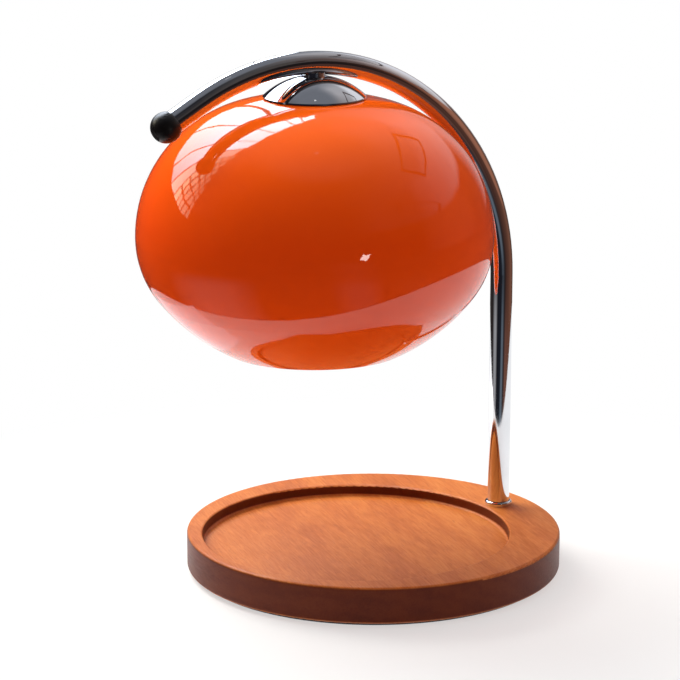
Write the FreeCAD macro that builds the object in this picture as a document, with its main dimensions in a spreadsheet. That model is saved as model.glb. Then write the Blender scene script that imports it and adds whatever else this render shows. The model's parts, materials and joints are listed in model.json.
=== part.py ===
import FreeCAD, Part
import math
import operator
import os
import types

import Sketcher

# Candle warmer lamp. A round wooden base with a recess for the candle carries a bent chromed tube,
# and a squashed glass globe hangs from the tube over the recess with a reflector bulb inside it.
# The origin is the centre of the base's underside. +Z is up and the tube's post stands on +X.

# ---------------------------------------------------------------- driving dimensions, in mm
DRIVING = {
    # wooden base and its pad
    "base_diameter": 200.0,
    "base_top_round": 1.5,
    "base_foot_round": 2.0,
    "pad_thickness": 1.5,
    "pad_inset": 4.0,
    "recess_depth": 6.0,
    "recess_narrow_rim": 7.0,
    "recess_post_gap": 2.6,
    "recess_rim_round": 1.0,
    "recess_floor_round": 1.5,
    # underside of the base: pocket at the post, channel for the terminal block, cord inlet
    "pocket_gap": 3.0,
    "pocket_edge_wall": 6.0,
    "clamp_thickness": 7.5,
    "channel_cover": 4.5,
    "channel_side_gap": 2.8,
    "channel_end_gap": 12.0,
    "inlet_edge": 1.0,
    "inlet_spot_depth": 0.8,
    "bushing_bore": 6.4,
    "bushing_wall": 1.15,
    "bushing_flange_width": 2.1,
    "bushing_flange_thickness": 2.0,
    "bushing_play": 0.05,
    # arm tube
    "tube_diameter": 12.0,
    "tube_wall": 1.0,
    "straight_height": 130.4,
    "bend_angle": 118.8,
    "tip_length": 17.0,
    "arm_shade_gap": 18.25,
    # foot of the arm
    "flange_height": 2.4,
    "flange_land": 0.35,
    "flange_round": 1.0,
    "flange_play": 0.05,
    "stud_wall": 1.5,
    "stud_insert": 12.0,
    "stud_fit": 0.02,
    "stud_play": 0.2,
    "stud_end": 0.5,
    "washer_diameter": 20.0,
    "washer_thickness": 1.0,
    "lock_washer_diameter": 15.5,
    "lock_washer_thickness": 1.2,
    "lock_washer_split": 1.5,
    "post_nut_flats": 14.0,
    "post_nut_height": 3.0,
    "thread_play": 0.05,
    # black ball cap in the arm's free end
    "end_cap_overhang": 2.0,
    "end_cap_lip": 0.3,
    "end_cap_flat": 7.0,
    "plug_length": 8.0,
    "plug_play": 0.05,
    # nipple, collar and dome
    "head_shift": 6.7,
    "nipple_diameter": 8.0,
    "nipple_bore": 5.6,
    "nipple_rise": 1.7,
    "nipple_end": 0.8,
    "tube_hole_play": 0.03,
    "collar_diameter": 11.0,
    "collar_gap": 0.6,
    "collar_saddle": 1.2,
    "dome_diameter": 53.0,
    "dome_radius": 38.5,
    "dome_sheet": 1.0,
    "dome_seat_margin": 0.65,
    "dome_rim_height": 0.8,
    "dome_lift": 0.4,
    "cap_nut_flats": 11.0,
    "cap_nut_height": 3.0,
    # glass shade
    "shade_diameter": 185.5,
    "shade_crown_squash": 18.75,
    "shade_crown_flatness": 60.0,
    "shade_foot_squash": 21.75,
    "shade_foot_flatness": 12.0,
    "shade_wall": 2.5,
    "shade_opening": 96.0,
    # gaskets and gallery plate that carry the glass
    "gasket_width": 2.6,
    "gasket_inset": 0.3,
    "gallery_lap": 5.0,
    "gallery_sheet": 1.2,
    "gallery_gap": 0.6,
    "gallery_hub_play": 0.8,
    "gallery_hub_room": 0.45,
    "gallery_gasket_thickness": 1.2,
    "gallery_gasket_width": 3.6,
    # lampholder bracket
    "bracket_width": 10.0,
    "bracket_sheet": 1.2,
    "bracket_drop": 21.8,
    "bracket_foot_margin": 3.1,
    "bracket_washer_diameter": 14.0,
    "bracket_washer_thickness": 1.0,
    "bracket_nut_flats": 12.0,
    "bracket_nut_height": 3.2,
    # lampholder
    "holder_rim": 1.1,
    "holder_web": 2.0,
    "holder_height": 16.0,
    "holder_face": 3.0,
    "holder_pocket": 5.5,
    "holder_screw_diameter": 2.9,
    "holder_screw_head": 5.5,
    "holder_screw_head_height": 2.0,
    "holder_screw_end": 1.0,
    "screw_play": 0.15,
    "screw_sink": 0.2,
    "holder_wire_hole": 2.6,
    "contact_sheet": 0.5,
    "contact_width": 3.0,
    "contact_side_play": 0.3,
    "contact_gap": 0.3,
    # reflector bulb
    "pin_pitch": 10.0,
    "pin_diameter": 3.0,
    "pin_head_diameter": 5.0,
    "pin_head_height": 2.3,
    "pin_depth": 4.0,
    "pin_play": 0.2,
    "pin_fit": 0.02,
    "pin_head_play": 0.4,
    "pin_lift": 0.15,
    "twist_angle": 20.0,
    "bulb_gap": 0.3,
    "bulb_length": 46.0,
    "bulb_base_diameter": 24.0,
    "bulb_base_height": 14.0,
    "bulb_diameter": 50.0,
    "bulb_rim_height": 3.0,
    "reflector_wall": 1.2,
    "lens_thickness": 1.5,
    "lens_play": 0.05,
    "capsule_diameter": 9.0,
    "capsule_wall": 0.8,
    "capsule_length": 20.0,
    "capsule_socket": 5.0,
    "capsule_play": 0.05,
    "capsule_top": 3.0,
    "filament_diameter": 1.6,
    "filament_length": 7.0,
    "filament_lead_diameter": 0.6,
    "filament_drop": 5.0,
    # terminal block
    "block_distance": 24.0,
    "block_length": 18.0,
    "block_width": 20.0,
    "block_height": 8.0,
    "block_pad_gap": 1.0,
    "block_pitch": 10.0,
    "sleeve_diameter": 4.0,
    "sleeve_bore": 2.6,
    "sleeve_play": 0.02,
    "terminal_screw_diameter": 2.4,
    "terminal_screw_head": 3.8,
    "terminal_screw_head_height": 1.3,
    "terminal_screw_spacing": 9.0,
    "fixing_screw_diameter": 2.9,
    "fixing_screw_head": 5.4,
    "fixing_screw_head_height": 1.8,
    "fixing_screw_bite": 3.4,
    # insulated wires
    "wire_diameter": 2.0,
    "wire_spacing": 2.2,
    "wire_pad_gap": 1.3,
    "wire_foot_bend": 4.0,
    "wire_head_bend": 5.0,
    "wire_side_bend": 5.0,
    "wire_insert": 6.0,
    "wire_run": 3.0,
    "wire_slope": 9.0,
}

# How far a cutting shape stands out of the surface that it opens.
OVERCUT = 1.0


# ---------------------------------------------------------------- numbers that know their expression
class Size:
    """A number together with the expression that gives it from the sheets."""

    def __init__(self, value, text):
        self.value = float(value)
        self.text = text

    def __add__(self, other):
        return joined(self, operator.add, "+", other)

    def __radd__(self, other):
        return joined(other, operator.add, "+", self)

    def __sub__(self, other):
        return joined(self, operator.sub, "-", other)

    def __rsub__(self, other):
        return joined(other, operator.sub, "-", self)

    def __mul__(self, other):
        return joined(self, operator.mul, "*", other)

    def __rmul__(self, other):
        return joined(other, operator.mul, "*", self)

    def __truediv__(self, other):
        return joined(self, operator.truediv, "/", other)

    def __neg__(self):
        return joined(0.0, operator.sub, "-", self)


def as_size(number):
    if isinstance(number, Size):
        return number
    return Size(number, repr(float(number)))


def joined(left, action, sign, right):
    left = as_size(left)
    right = as_size(right)
    return Size(action(left.value, right.value), "(" + left.text + " " + sign + " " + right.text + ")")


def squared(number):
    return Size(number.value ** 2, "(" + number.text + " ^ 2)")


def root(number):
    return Size(math.sqrt(number.value), "sqrt(" + number.text + ")")


def cosine(angle):
    return Size(math.cos(math.radians(angle.value)), "cos(" + angle.text + ")")


def sine(angle):
    return Size(math.sin(math.radians(angle.value)), "sin(" + angle.text + ")")


# ---------------------------------------------------------------- document and sheets
doc = FreeCAD.newDocument("candle_warmer_lamp")
sizes_sheet = doc.addObject("Spreadsheet::Sheet", "Sizes")
layout_sheet = doc.addObject("Spreadsheet::Sheet", "Layout")
layout_rows = []

for row, (name, number) in enumerate(DRIVING.items(), start=1):
    sizes_sheet.set("A%d" % row, name)
    sizes_sheet.set("B%d" % row, repr(number))
    sizes_sheet.setAlias("B%d" % row, name)
doc.recompute()

d = types.SimpleNamespace(**{name: Size(number, "Sizes." + name) for name, number in DRIVING.items()})


def named(name, size):
    """Write a worked-out place into the layout sheet and return it by its name."""
    layout_rows.append(name)
    row = len(layout_rows)
    layout_sheet.set("A%d" % row, name)
    layout_sheet.set("B%d" % row, "=" + size.text)
    layout_sheet.setAlias("B%d" % row, name)
    return Size(size.value, "Layout." + name)


# Heights and places that several pieces share, from the table up.
base_r = named("base_r", d.base_diameter / 2)
wood_low = named("wood_low", d.pad_thickness)
block_low = named("block_low", wood_low + d.block_pad_gap)
channel_roof = named("channel_roof", block_low + d.block_height)
recess_floor = named("recess_floor", channel_roof + d.channel_cover)
base_top = named("base_top", recess_floor + d.recess_depth)
pocket_roof = named("pocket_roof", base_top - d.clamp_thickness)

# The post stands in the wide part of the rim that the recess leaves, over the nut's pocket.
tube_r = named("tube_r", d.tube_diameter / 2)
tube_in = named("tube_in", tube_r - d.tube_wall)
flange_r = named("flange_r", tube_r + d.flange_play + d.flange_land + d.flange_round)
pocket_r = named("pocket_r", d.washer_diameter / 2 + d.pocket_gap)
post_x = named("post_x", base_r - d.pocket_edge_wall - pocket_r)
recess_near = named("recess_near", post_x - flange_r - d.recess_post_gap)
recess_far = named("recess_far", d.recess_narrow_rim - base_r)
recess_r = named("recess_r", (recess_near - recess_far) / 2)
recess_x = named("recess_x", (recess_near + recess_far) / 2)

# Cord inlet in the edge of the wood.
inlet_r = named("inlet_r", d.bushing_bore / 2 + d.bushing_wall + d.bushing_play)
bushing_flange_r = named("bushing_flange_r", inlet_r + d.bushing_flange_width)
inlet_z = named("inlet_z", wood_low + d.inlet_edge + bushing_flange_r)

# Arm: the centre line of the tube is bent so that it passes round the shade.
shade_r = named("shade_r", d.shade_diameter / 2)
bend_r = named("bend_r", shade_r + d.arm_shade_gap + tube_r + d.head_shift)
bend_z = named("bend_z", base_top + d.straight_height)
bend_x = named("bend_x", post_x - bend_r)
arc_end_x = named("arc_end_x", bend_x + bend_r * cosine(d.bend_angle))
arc_end_z = named("arc_end_z", bend_z + bend_r * sine(d.bend_angle))
tip_x = named("tip_x", arc_end_x - d.tip_length * sine(d.bend_angle))
tip_z = named("tip_z", arc_end_z + d.tip_length * cosine(d.bend_angle))

# Foot of the arm: stud and its clamping hardware under the wood.
stud_r = named("stud_r", tube_in - d.stud_fit)
stud_in = named("stud_in", stud_r - d.stud_wall)
washer_low = named("washer_low", pocket_roof - d.washer_thickness)
lock_low = named("lock_low", washer_low - d.lock_washer_thickness)
nut_low = named("nut_low", lock_low - d.post_nut_height)
stud_low = named("stud_low", nut_low - d.stud_end)
stud_top = named("stud_top", base_top + d.stud_insert)

# Head: its upright axis and the stack that hangs from the tube.
head_x = named("head_x", bend_x + d.head_shift)
nipple_r = named("nipple_r", d.nipple_diameter / 2)
nut_hole_r = named("nut_hole_r", nipple_r + d.thread_play)
collar_r = named("collar_r", d.collar_diameter / 2)
bend_in = named("bend_in", bend_r - tube_r)
head_mid = named("head_mid", bend_z + root(squared(bend_r) - squared(d.head_shift)))
tube_low = named("tube_low", bend_z + root(squared(bend_in) - squared(d.head_shift)))
collar_low = named("collar_low", bend_z + root(squared(bend_in) - squared(d.head_shift + collar_r)))
seat_z = named("seat_z", collar_low - d.collar_gap)
dome_r = named("dome_r", d.dome_diameter / 2)
dome_seat_r = named("dome_seat_r", d.cap_nut_flats / math.sqrt(3) + d.dome_seat_margin)
dome_mid = named("dome_mid", seat_z - root(squared(d.dome_radius) - squared(dome_seat_r)))
dome_edge = named("dome_edge", dome_mid + root(squared(d.dome_radius) - squared(dome_r)))
dome_rim = named("dome_rim", dome_edge - d.dome_rim_height)
dome_in = named("dome_in", d.dome_radius - d.dome_sheet)

# Glass: the dome's rim sits just above it, so the glass takes its height from the dome.
crown_r = named("crown_r", shade_r + d.shade_crown_flatness)
foot_r = named("foot_r", shade_r + d.shade_foot_flatness)
upper_height = named("upper_height", shade_r - d.shade_crown_squash)
lower_height = named("lower_height", shade_r - d.shade_foot_squash)
crown_drop = named("crown_drop", crown_r - root(squared(crown_r) - squared(dome_r)))
crown_top = named("crown_top", dome_rim - d.dome_lift + crown_drop)
shade_z = named("shade_z", crown_top - upper_height)
crown_mid = named("crown_mid", crown_top - crown_r)
crown_in = named("crown_in", crown_r - d.shade_wall)
foot_mid = named("foot_mid", shade_z - lower_height + foot_r)
foot_in = named("foot_in", foot_r - d.shade_wall)
opening_r = named("opening_r", d.shade_opening / 2)

# Lampholder across the axis: pin pockets in the middle, a screw on each side, then the bracket's legs.
pin_r = named("pin_r", d.pin_pitch / 2)
pocket_half = named("pocket_half", d.pin_head_diameter / 2 + d.pin_head_play)
head_hole_r = named("head_hole_r", d.holder_screw_head / 2 + d.screw_play)
screw_x = named("screw_x", pin_r * sine(d.twist_angle) + pocket_half + d.holder_web + head_hole_r)
holder_r = named("holder_r", screw_x + head_hole_r + d.holder_rim)
half_span = named("half_span", screw_x + d.bracket_foot_margin)

# Gallery plate around the bracket, and the glass's hole around the gallery plate.
hub_in = named("hub_in", root(squared(half_span) + squared(d.bracket_width / 2)) + d.gallery_hub_room)
hub_r = named("hub_r", hub_in + d.gallery_sheet)
shade_hole_r = named("shade_hole_r", hub_r + d.gallery_hub_play)
gallery_r = named("gallery_r", shade_hole_r + d.gallery_lap)
cap_nut_low = named("cap_nut_low", seat_z - d.dome_sheet - d.cap_nut_height)
hub_top = named("hub_top", cap_nut_low - d.gallery_gap)
hub_low = named("hub_low", hub_top - d.gallery_sheet)
gallery_gasket_r = named("gallery_gasket_r", gallery_r - d.gasket_inset)
gallery_rim_z = named("gallery_rim_z", crown_mid + root(squared(crown_in) - squared(gallery_gasket_r)))
flange_z = named("flange_z", gallery_rim_z - d.gallery_gasket_thickness)
bracket_low = named("bracket_low", hub_low - d.bracket_sheet)
bracket_washer_low = named("bracket_washer_low", bracket_low - d.bracket_washer_thickness)
bracket_nut_low = named("bracket_nut_low", bracket_washer_low - d.bracket_nut_height)
nipple_low = named("nipple_low", bracket_nut_low - d.nipple_end)
nipple_top = named("nipple_top", tube_low + d.tube_wall + d.nipple_rise)
holder_top = named("holder_top", hub_low - d.bracket_drop)
holder_low = named("holder_low", holder_top - d.holder_height)
face_top = named("face_top", holder_low + d.holder_face)
holder_roof = named("holder_roof", face_top + d.holder_pocket)

# Bulb, from its base down to its lens.
bulb_top = named("bulb_top", holder_low - d.bulb_gap)
neck_z = named("neck_z", bulb_top - d.bulb_base_height)
lens_low = named("lens_low", bulb_top - d.bulb_length)
mouth_z = named("mouth_z", lens_low + d.bulb_rim_height)
bulb_r = named("bulb_r", d.bulb_diameter / 2)
bulb_base_r = named("bulb_base_r", d.bulb_base_diameter / 2)
pin_head_low = named("pin_head_low", face_top + d.pin_lift)
pin_head_top = named("pin_head_top", pin_head_low + d.pin_head_height)

# Terminal block in the channel.
block_near = named("block_near", post_x - d.block_distance)
block_far = named("block_far", block_near - d.block_length)
sleeve_z = named("sleeve_z", channel_roof - d.block_height / 2)
block_mid = named("block_mid", block_near - d.block_length / 2)


# ---------------------------------------------------------------- building steps
def bind(thing, place, size):
    thing.setExpression(place, as_size(size).text)


def origin_plane(body, role):
    return [feature for feature in body.Origin.OriginFeatures if feature.Role == role][0]


def new_body(label, x=0.0, z=0.0):
    body = doc.addObject("PartDesign::Body", label)
    body.Label = label
    bind(body, "Placement.Base.x", x)
    bind(body, "Placement.Base.z", z)
    return body


def new_sketch(body, plane, x=0.0, y=0.0, z=0.0):
    sketch = body.newObject("Sketcher::SketchObject", body.Label + "_sketch")
    sketch.AttachmentSupport = [(origin_plane(body, plane), "")]
    sketch.MapMode = "FlatFace"
    for axis, size in (("x", x), ("y", y), ("z", z)):
        bind(sketch, "AttachmentOffset.Base." + axis, size)
    return sketch


def hold(sketch, kind, index, end, size):
    """Tie one coordinate of a sketch point to a size."""
    size = as_size(size)
    number = sketch.addConstraint(Sketcher.Constraint(kind, -1, 1, index, end, size.value))
    sketch.setExpression("Constraints[%d]" % number, size.text)


def draw_outline(sketch, corners):
    """Draw a closed outline. A corner is (x, y), or (x, y, centre x, centre y, turn) where an arc follows.

    The turn is 1 for an arc that runs counter-clockwise and -1 for one that runs clockwise.
    """
    first = sketch.GeometryCount
    ends = []
    for corner, after in zip(corners, corners[1:] + corners[:1]):
        start = FreeCAD.Vector(as_size(corner[0]).value, as_size(corner[1]).value, 0)
        stop = FreeCAD.Vector(as_size(after[0]).value, as_size(after[1]).value, 0)
        if len(corner) == 2:
            sketch.addGeometry(Part.LineSegment(start, stop), False)
            ends.append((1, 2))
            continue
        centre = FreeCAD.Vector(as_size(corner[2]).value, as_size(corner[3]).value, 0)
        circle = Part.Circle(centre, FreeCAD.Vector(0, 0, 1), (start - centre).Length)
        low, high = (start, stop) if corner[4] > 0 else (stop, start)
        from_angle = math.atan2(low.y - centre.y, low.x - centre.x)
        to_angle = math.atan2(high.y - centre.y, high.x - centre.x)
        if to_angle <= from_angle:
            to_angle += 2 * math.pi
        sketch.addGeometry(Part.ArcOfCircle(circle, from_angle, to_angle), False)
        ends.append((1, 2) if corner[4] > 0 else (2, 1))
    count = len(corners)
    for step in range(count):
        after = (step + 1) % count
        sketch.addConstraint(
            Sketcher.Constraint("Coincident", first + step, ends[step][1], first + after, ends[after][0])
        )
    for step, corner in enumerate(corners):
        hold(sketch, "DistanceX", first + step, ends[step][0], corner[0])
        hold(sketch, "DistanceY", first + step, ends[step][0], corner[1])
        if len(corner) > 2:
            after = corners[(step + 1) % count]
            wide = abs(as_size(after[0]).value - as_size(corner[0]).value)
            tall = abs(as_size(after[1]).value - as_size(corner[1]).value)
            if wide > tall:
                hold(sketch, "DistanceY", first + step, 3, corner[3])
            else:
                hold(sketch, "DistanceX", first + step, 3, corner[2])


def draw_circle(sketch, radius, x=0.0, y=0.0):
    radius = as_size(radius)
    centre = FreeCAD.Vector(as_size(x).value, as_size(y).value, 0)
    index = sketch.addGeometry(Part.Circle(centre, FreeCAD.Vector(0, 0, 1), radius.value), False)
    hold(sketch, "DistanceX", index, 3, x)
    hold(sketch, "DistanceY", index, 3, y)
    number = sketch.addConstraint(Sketcher.Constraint("Radius", index, radius.value))
    sketch.setExpression("Constraints[%d]" % number, radius.text)


def turned(label, corners, x=0.0, z=0.0):
    """A piece turned about its upright axis."""
    body = new_body(label, x, z)
    sketch = new_sketch(body, "XZ_Plane")
    draw_outline(sketch, corners)
    turn = body.newObject("PartDesign::Revolution", label + "_turned")
    turn.Profile = sketch
    turn.ReferenceAxis = (sketch, ["V_Axis"])
    turn.Angle = 360
    doc.recompute()
    return body


def raised(body, sketch, length, both_sides=False):
    """Give a sketch its thickness."""
    pad = body.newObject("PartDesign::Pad", body.Label + "_pad")
    pad.Profile = sketch
    pad.Midplane = both_sides
    bind(pad, "Length", length)
    doc.recompute()
    return pad


def sunk(body, sketch, depth, along_normal=False):
    """Cut a sketch into the body and make sure that it takes material away."""
    before = body.Shape.Volume
    pocket = body.newObject("PartDesign::Pocket", body.Label + "_pocket")
    pocket.Profile = sketch
    pocket.Reversed = along_normal
    bind(pocket, "Length", depth)
    doc.recompute()
    if body.Shape.Volume >= before:
        raise ValueError(body.Label + ": a pocket cuts nothing")


def bored_up(body, radius, x, y, low, high):
    """A round hole from one height up to another."""
    sketch = new_sketch(body, "XY_Plane", x, y, low)
    draw_circle(sketch, radius)
    sunk(body, sketch, high - low, along_normal=True)


def ring(inner, outer, low, high):
    """Section of a plain ring."""
    return [(inner, low), (outer, low), (outer, high), (inner, high)]


def hexagon(flats):
    """Corners of a hexagon with two corners on the Y axis."""
    side = flats / 2
    tip = flats / math.sqrt(3)
    return [(side, tip / 2), (0.0, tip), (-side, tip / 2), (-side, -tip / 2), (0.0, -tip), (side, -tip / 2)]


def hex_nut(label, flats, hole, low, height, x):
    body = new_body(label, x)
    sketch = new_sketch(body, "XY_Plane", z=low)
    draw_outline(sketch, hexagon(flats))
    draw_circle(sketch, hole)
    raised(body, sketch, height)
    return body


def group(label, members):
    """Several equal pieces under one name."""
    compound = doc.addObject("Part::Compound", label)
    compound.Label = label
    compound.Links = members
    doc.recompute()
    return compound


def sphere_height(middle, radius, out):
    """Height of a sphere's upper half at a distance from the axis."""
    return middle + root(squared(radius) - squared(out))


# ---------------------------------------------------------------- base
# The pad is glued under the wood and covers the pocket and the channel.
bottom_pad = turned("bottom_pad", ring(0.0, base_r - d.pad_inset, 0.0, wood_low))

foot = d.base_foot_round
edge = d.base_top_round
wood_base = turned("wood_base", [
    (0.0, wood_low),
    (base_r - foot, wood_low, base_r - foot, wood_low + foot, 1),
    (base_r, wood_low + foot),
    (base_r, base_top - edge, base_r - edge, base_top - edge, 1),
    (base_r - edge, base_top),
    (0.0, base_top),
])

# The recess is turned about its own axis, away from the post.
rim = d.recess_rim_round
cove = d.recess_floor_round
recess = new_sketch(wood_base, "XZ_Plane", x=recess_x)
draw_outline(recess, [
    (0.0, recess_floor),
    (recess_r - cove, recess_floor, recess_r - cove, recess_floor + cove, 1),
    (recess_r, recess_floor + cove),
    (recess_r, base_top - rim, recess_r + rim, base_top - rim, -1),
    (recess_r + rim, base_top),
    (recess_r + rim, base_top + OVERCUT),
    (0.0, base_top + OVERCUT),
])
full_volume = wood_base.Shape.Volume
groove = wood_base.newObject("PartDesign::Groove", "recess_groove")
groove.Profile = recess
groove.ReferenceAxis = (recess, ["V_Axis"])
groove.Angle = 360
doc.recompute()
if wood_base.Shape.Volume >= full_volume:
    raise ValueError("wood_base: the recess cuts nothing")

# Underside: pocket for the nut, channel for the terminal block, and the stud's hole.
bored_up(wood_base, pocket_r, post_x, 0.0, wood_low - OVERCUT, pocket_roof)
channel_half = d.block_width / 2 + d.channel_side_gap
channel = new_sketch(wood_base, "XY_Plane", z=wood_low - OVERCUT)
draw_outline(channel, [
    (block_far - d.channel_end_gap, -channel_half),
    (post_x, -channel_half),
    (post_x, channel_half),
    (block_far - d.channel_end_gap, channel_half),
])
sunk(wood_base, channel, channel_roof - wood_low + OVERCUT, along_normal=True)
bored_up(wood_base, stud_r + d.stud_play, post_x, 0.0, pocket_roof - OVERCUT, base_top + OVERCUT)

# Cord inlet in the edge behind the post, with a flat spot for the bushing's flange.
inlet = new_sketch(wood_base, "YZ_Plane", z=base_r + OVERCUT)
draw_circle(inlet, inlet_r, y=inlet_z)
sunk(wood_base, inlet, base_r + OVERCUT - post_x - pocket_r + OVERCUT)
spot = new_sketch(wood_base, "YZ_Plane", z=base_r + OVERCUT)
draw_circle(spot, bushing_flange_r + d.stud_play, y=inlet_z)
sunk(wood_base, spot, d.inlet_spot_depth + OVERCUT)

# Pilot hole of the terminal block's fixing screw.
bored_up(wood_base, d.fixing_screw_diameter / 2, block_mid, 0.0, channel_roof - OVERCUT,
         channel_roof + d.fixing_screw_bite)

# Rubber bushing in the inlet. It is turned upright and then laid along +X.
sleeve_end = d.pocket_edge_wall - d.inlet_spot_depth
cord_bushing = turned("cord_bushing", [
    (d.bushing_bore / 2, -sleeve_end),
    (inlet_r - d.bushing_play, -sleeve_end),
    (inlet_r - d.bushing_play, 0.0),
    (bushing_flange_r, 0.0),
    (bushing_flange_r, d.bushing_flange_thickness),
    (d.bushing_bore / 2, d.bushing_flange_thickness),
], x=base_r - d.inlet_spot_depth, z=inlet_z)
cord_bushing.Placement.Rotation = FreeCAD.Rotation(FreeCAD.Vector(0, 1, 0), 90)

# ---------------------------------------------------------------- arm
arm_tube = new_body("arm_tube")
spine = new_sketch(arm_tube, "XZ_Plane")
bend_start = FreeCAD.Vector(post_x.value, bend_z.value, 0)
bend_stop = FreeCAD.Vector(arc_end_x.value, arc_end_z.value, 0)
bend_circle = Part.Circle(
    FreeCAD.Vector(bend_x.value, bend_z.value, 0), FreeCAD.Vector(0, 0, 1), bend_r.value
)
spine.addGeometry(Part.LineSegment(FreeCAD.Vector(post_x.value, base_top.value, 0), bend_start), False)
spine.addGeometry(Part.ArcOfCircle(bend_circle, 0, math.radians(d.bend_angle.value)), False)
spine.addGeometry(Part.LineSegment(bend_stop, FreeCAD.Vector(tip_x.value, tip_z.value, 0)), False)
spine.addConstraint(Sketcher.Constraint("Coincident", 0, 2, 1, 1))
spine.addConstraint(Sketcher.Constraint("Coincident", 1, 2, 2, 1))
for index, end, x, z in (
    (0, 1, post_x, base_top), (1, 1, post_x, bend_z), (2, 1, arc_end_x, arc_end_z), (2, 2, tip_x, tip_z),
):
    hold(spine, "DistanceX", index, end, x)
    hold(spine, "DistanceY", index, end, z)
hold(spine, "DistanceX", 1, 3, bend_x)
tube_section = new_sketch(arm_tube, "XY_Plane", x=post_x, z=base_top)
draw_circle(tube_section, tube_r)
draw_circle(tube_section, tube_in)
doc.recompute()
arm_pipe = arm_tube.newObject("PartDesign::AdditivePipe", "arm_pipe")
arm_pipe.Profile = tube_section
arm_pipe.Spine = (spine, [])
doc.recompute()
arm_length = d.straight_height + bend_r * math.pi * d.bend_angle / 180 + d.tip_length
arm_section = math.pi * (tube_r.value ** 2 - tube_in.value ** 2)
print("arm tube: volume %.1f mm3, section times length %.1f mm3"
      % (arm_tube.Shape.Volume, arm_section * arm_length.value))
bored_up(arm_tube, nipple_r + d.tube_hole_play, head_x, 0.0, tube_low - OVERCUT, head_mid)

# Ring around the tube's foot.
flange_top = base_top + d.flange_height
post_flange = turned("post_flange", [
    (tube_r + d.flange_play, base_top),
    (flange_r, base_top),
    (flange_r, flange_top - d.flange_round, flange_r - d.flange_round, flange_top - d.flange_round, 1),
    (flange_r - d.flange_round, flange_top),
    (tube_r + d.flange_play, flange_top),
], x=post_x)

# Stud, washers and nut that clamp the arm to the wood.
post_stud = turned("post_stud", ring(stud_in, stud_r, stud_low, stud_top), x=post_x)
stud_hole_r = stud_r + d.stud_play
post_washer = turned("post_washer", ring(stud_hole_r, d.washer_diameter / 2, washer_low, pocket_roof), x=post_x)
lock_ring = turned(
    "lock_ring", ring(stud_hole_r, d.lock_washer_diameter / 2, lock_low, washer_low), x=post_x
)
lock_split = doc.addObject("Part::Box", "lock_split")
bind(lock_split, "Length", d.lock_washer_diameter)
bind(lock_split, "Width", d.lock_washer_split)
bind(lock_split, "Height", d.lock_washer_thickness * 3)
bind(lock_split, "Placement.Base.x", post_x)
bind(lock_split, "Placement.Base.y", -d.lock_washer_split / 2)
bind(lock_split, "Placement.Base.z", lock_low - d.lock_washer_thickness)
post_lock_washer = doc.addObject("Part::Cut", "post_lock_washer")
post_lock_washer.Label = "post_lock_washer"
post_lock_washer.Base = lock_ring
post_lock_washer.Tool = lock_split
post_nut = hex_nut("post_nut", d.post_nut_flats, stud_r + d.thread_play, nut_low, d.post_nut_height, post_x)

# Cap in the free end: a ball with a plug, flat where it meets the tube and at its nose. It is turned upright
# and then turned to the end of the tube.
cap_r = tube_r + d.end_cap_overhang
cap_seat_r = tube_r + d.end_cap_lip
cap_flat_r = d.end_cap_flat / 2
cap_middle = root(squared(cap_r) - squared(cap_seat_r))
cap_nose = cap_middle + root(squared(cap_r) - squared(cap_flat_r))
arm_end_cap = turned("arm_end_cap", [
    (0.0, -d.plug_length),
    (tube_in - d.plug_play, -d.plug_length),
    (tube_in - d.plug_play, 0.0),
    (cap_seat_r, 0.0, 0.0, cap_middle, 1),
    (cap_flat_r, cap_nose),
    (0.0, cap_nose),
], x=tip_x, z=tip_z)
arm_end_cap.Placement.Rotation = FreeCAD.Rotation(FreeCAD.Vector(0, 1, 0), -d.bend_angle.value)
bind(arm_end_cap, "Placement.Rotation.Angle", d.bend_angle)
arm_end_cap.Placement.Rotation.Axis = FreeCAD.Vector(0, -1, 0)

# ---------------------------------------------------------------- head
# Nipple through the tube's lower wall, with a collar that is coped to the tube.
head_nipple = turned("head_nipple", ring(d.nipple_bore / 2, nipple_r, nipple_low, nipple_top), x=head_x)
collar_blank = turned(
    "collar_blank", ring(nut_hole_r, collar_r, seat_z, tube_low + d.collar_saddle), x=head_x
)
bend_ring = doc.addObject("Part::Torus", "bend_ring")
bind(bend_ring, "Radius1", bend_r)
bind(bend_ring, "Radius2", tube_r)
bend_ring.Placement.Rotation = FreeCAD.Rotation(FreeCAD.Vector(1, 0, 0), 90)
bind(bend_ring, "Placement.Base.x", bend_x)
bind(bend_ring, "Placement.Base.z", bend_z)
neck_collar = doc.addObject("Part::Cut", "neck_collar")
neck_collar.Label = "neck_collar"
neck_collar.Base = collar_blank
neck_collar.Tool = bend_ring

# Chromed sheet dome, held up against the collar by a nut.
dome_flat_low = seat_z - d.dome_sheet
dome_in_seat_r = root(squared(dome_in) - squared(dome_flat_low - dome_mid))
dome_in_r = dome_r - d.dome_sheet
shade_cap = turned("shade_cap", [
    (nut_hole_r, seat_z),
    (dome_seat_r, seat_z, 0.0, dome_mid, -1),
    (dome_r, dome_edge),
    (dome_r, dome_rim),
    (dome_in_r, dome_rim),
    (dome_in_r, sphere_height(dome_mid, dome_in, dome_in_r), 0.0, dome_mid, 1),
    (dome_in_seat_r, dome_flat_low),
    (nut_hole_r, dome_flat_low),
], x=head_x)
cap_nut = hex_nut("cap_nut", d.cap_nut_flats, nut_hole_r, cap_nut_low, d.cap_nut_height, head_x)

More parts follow.
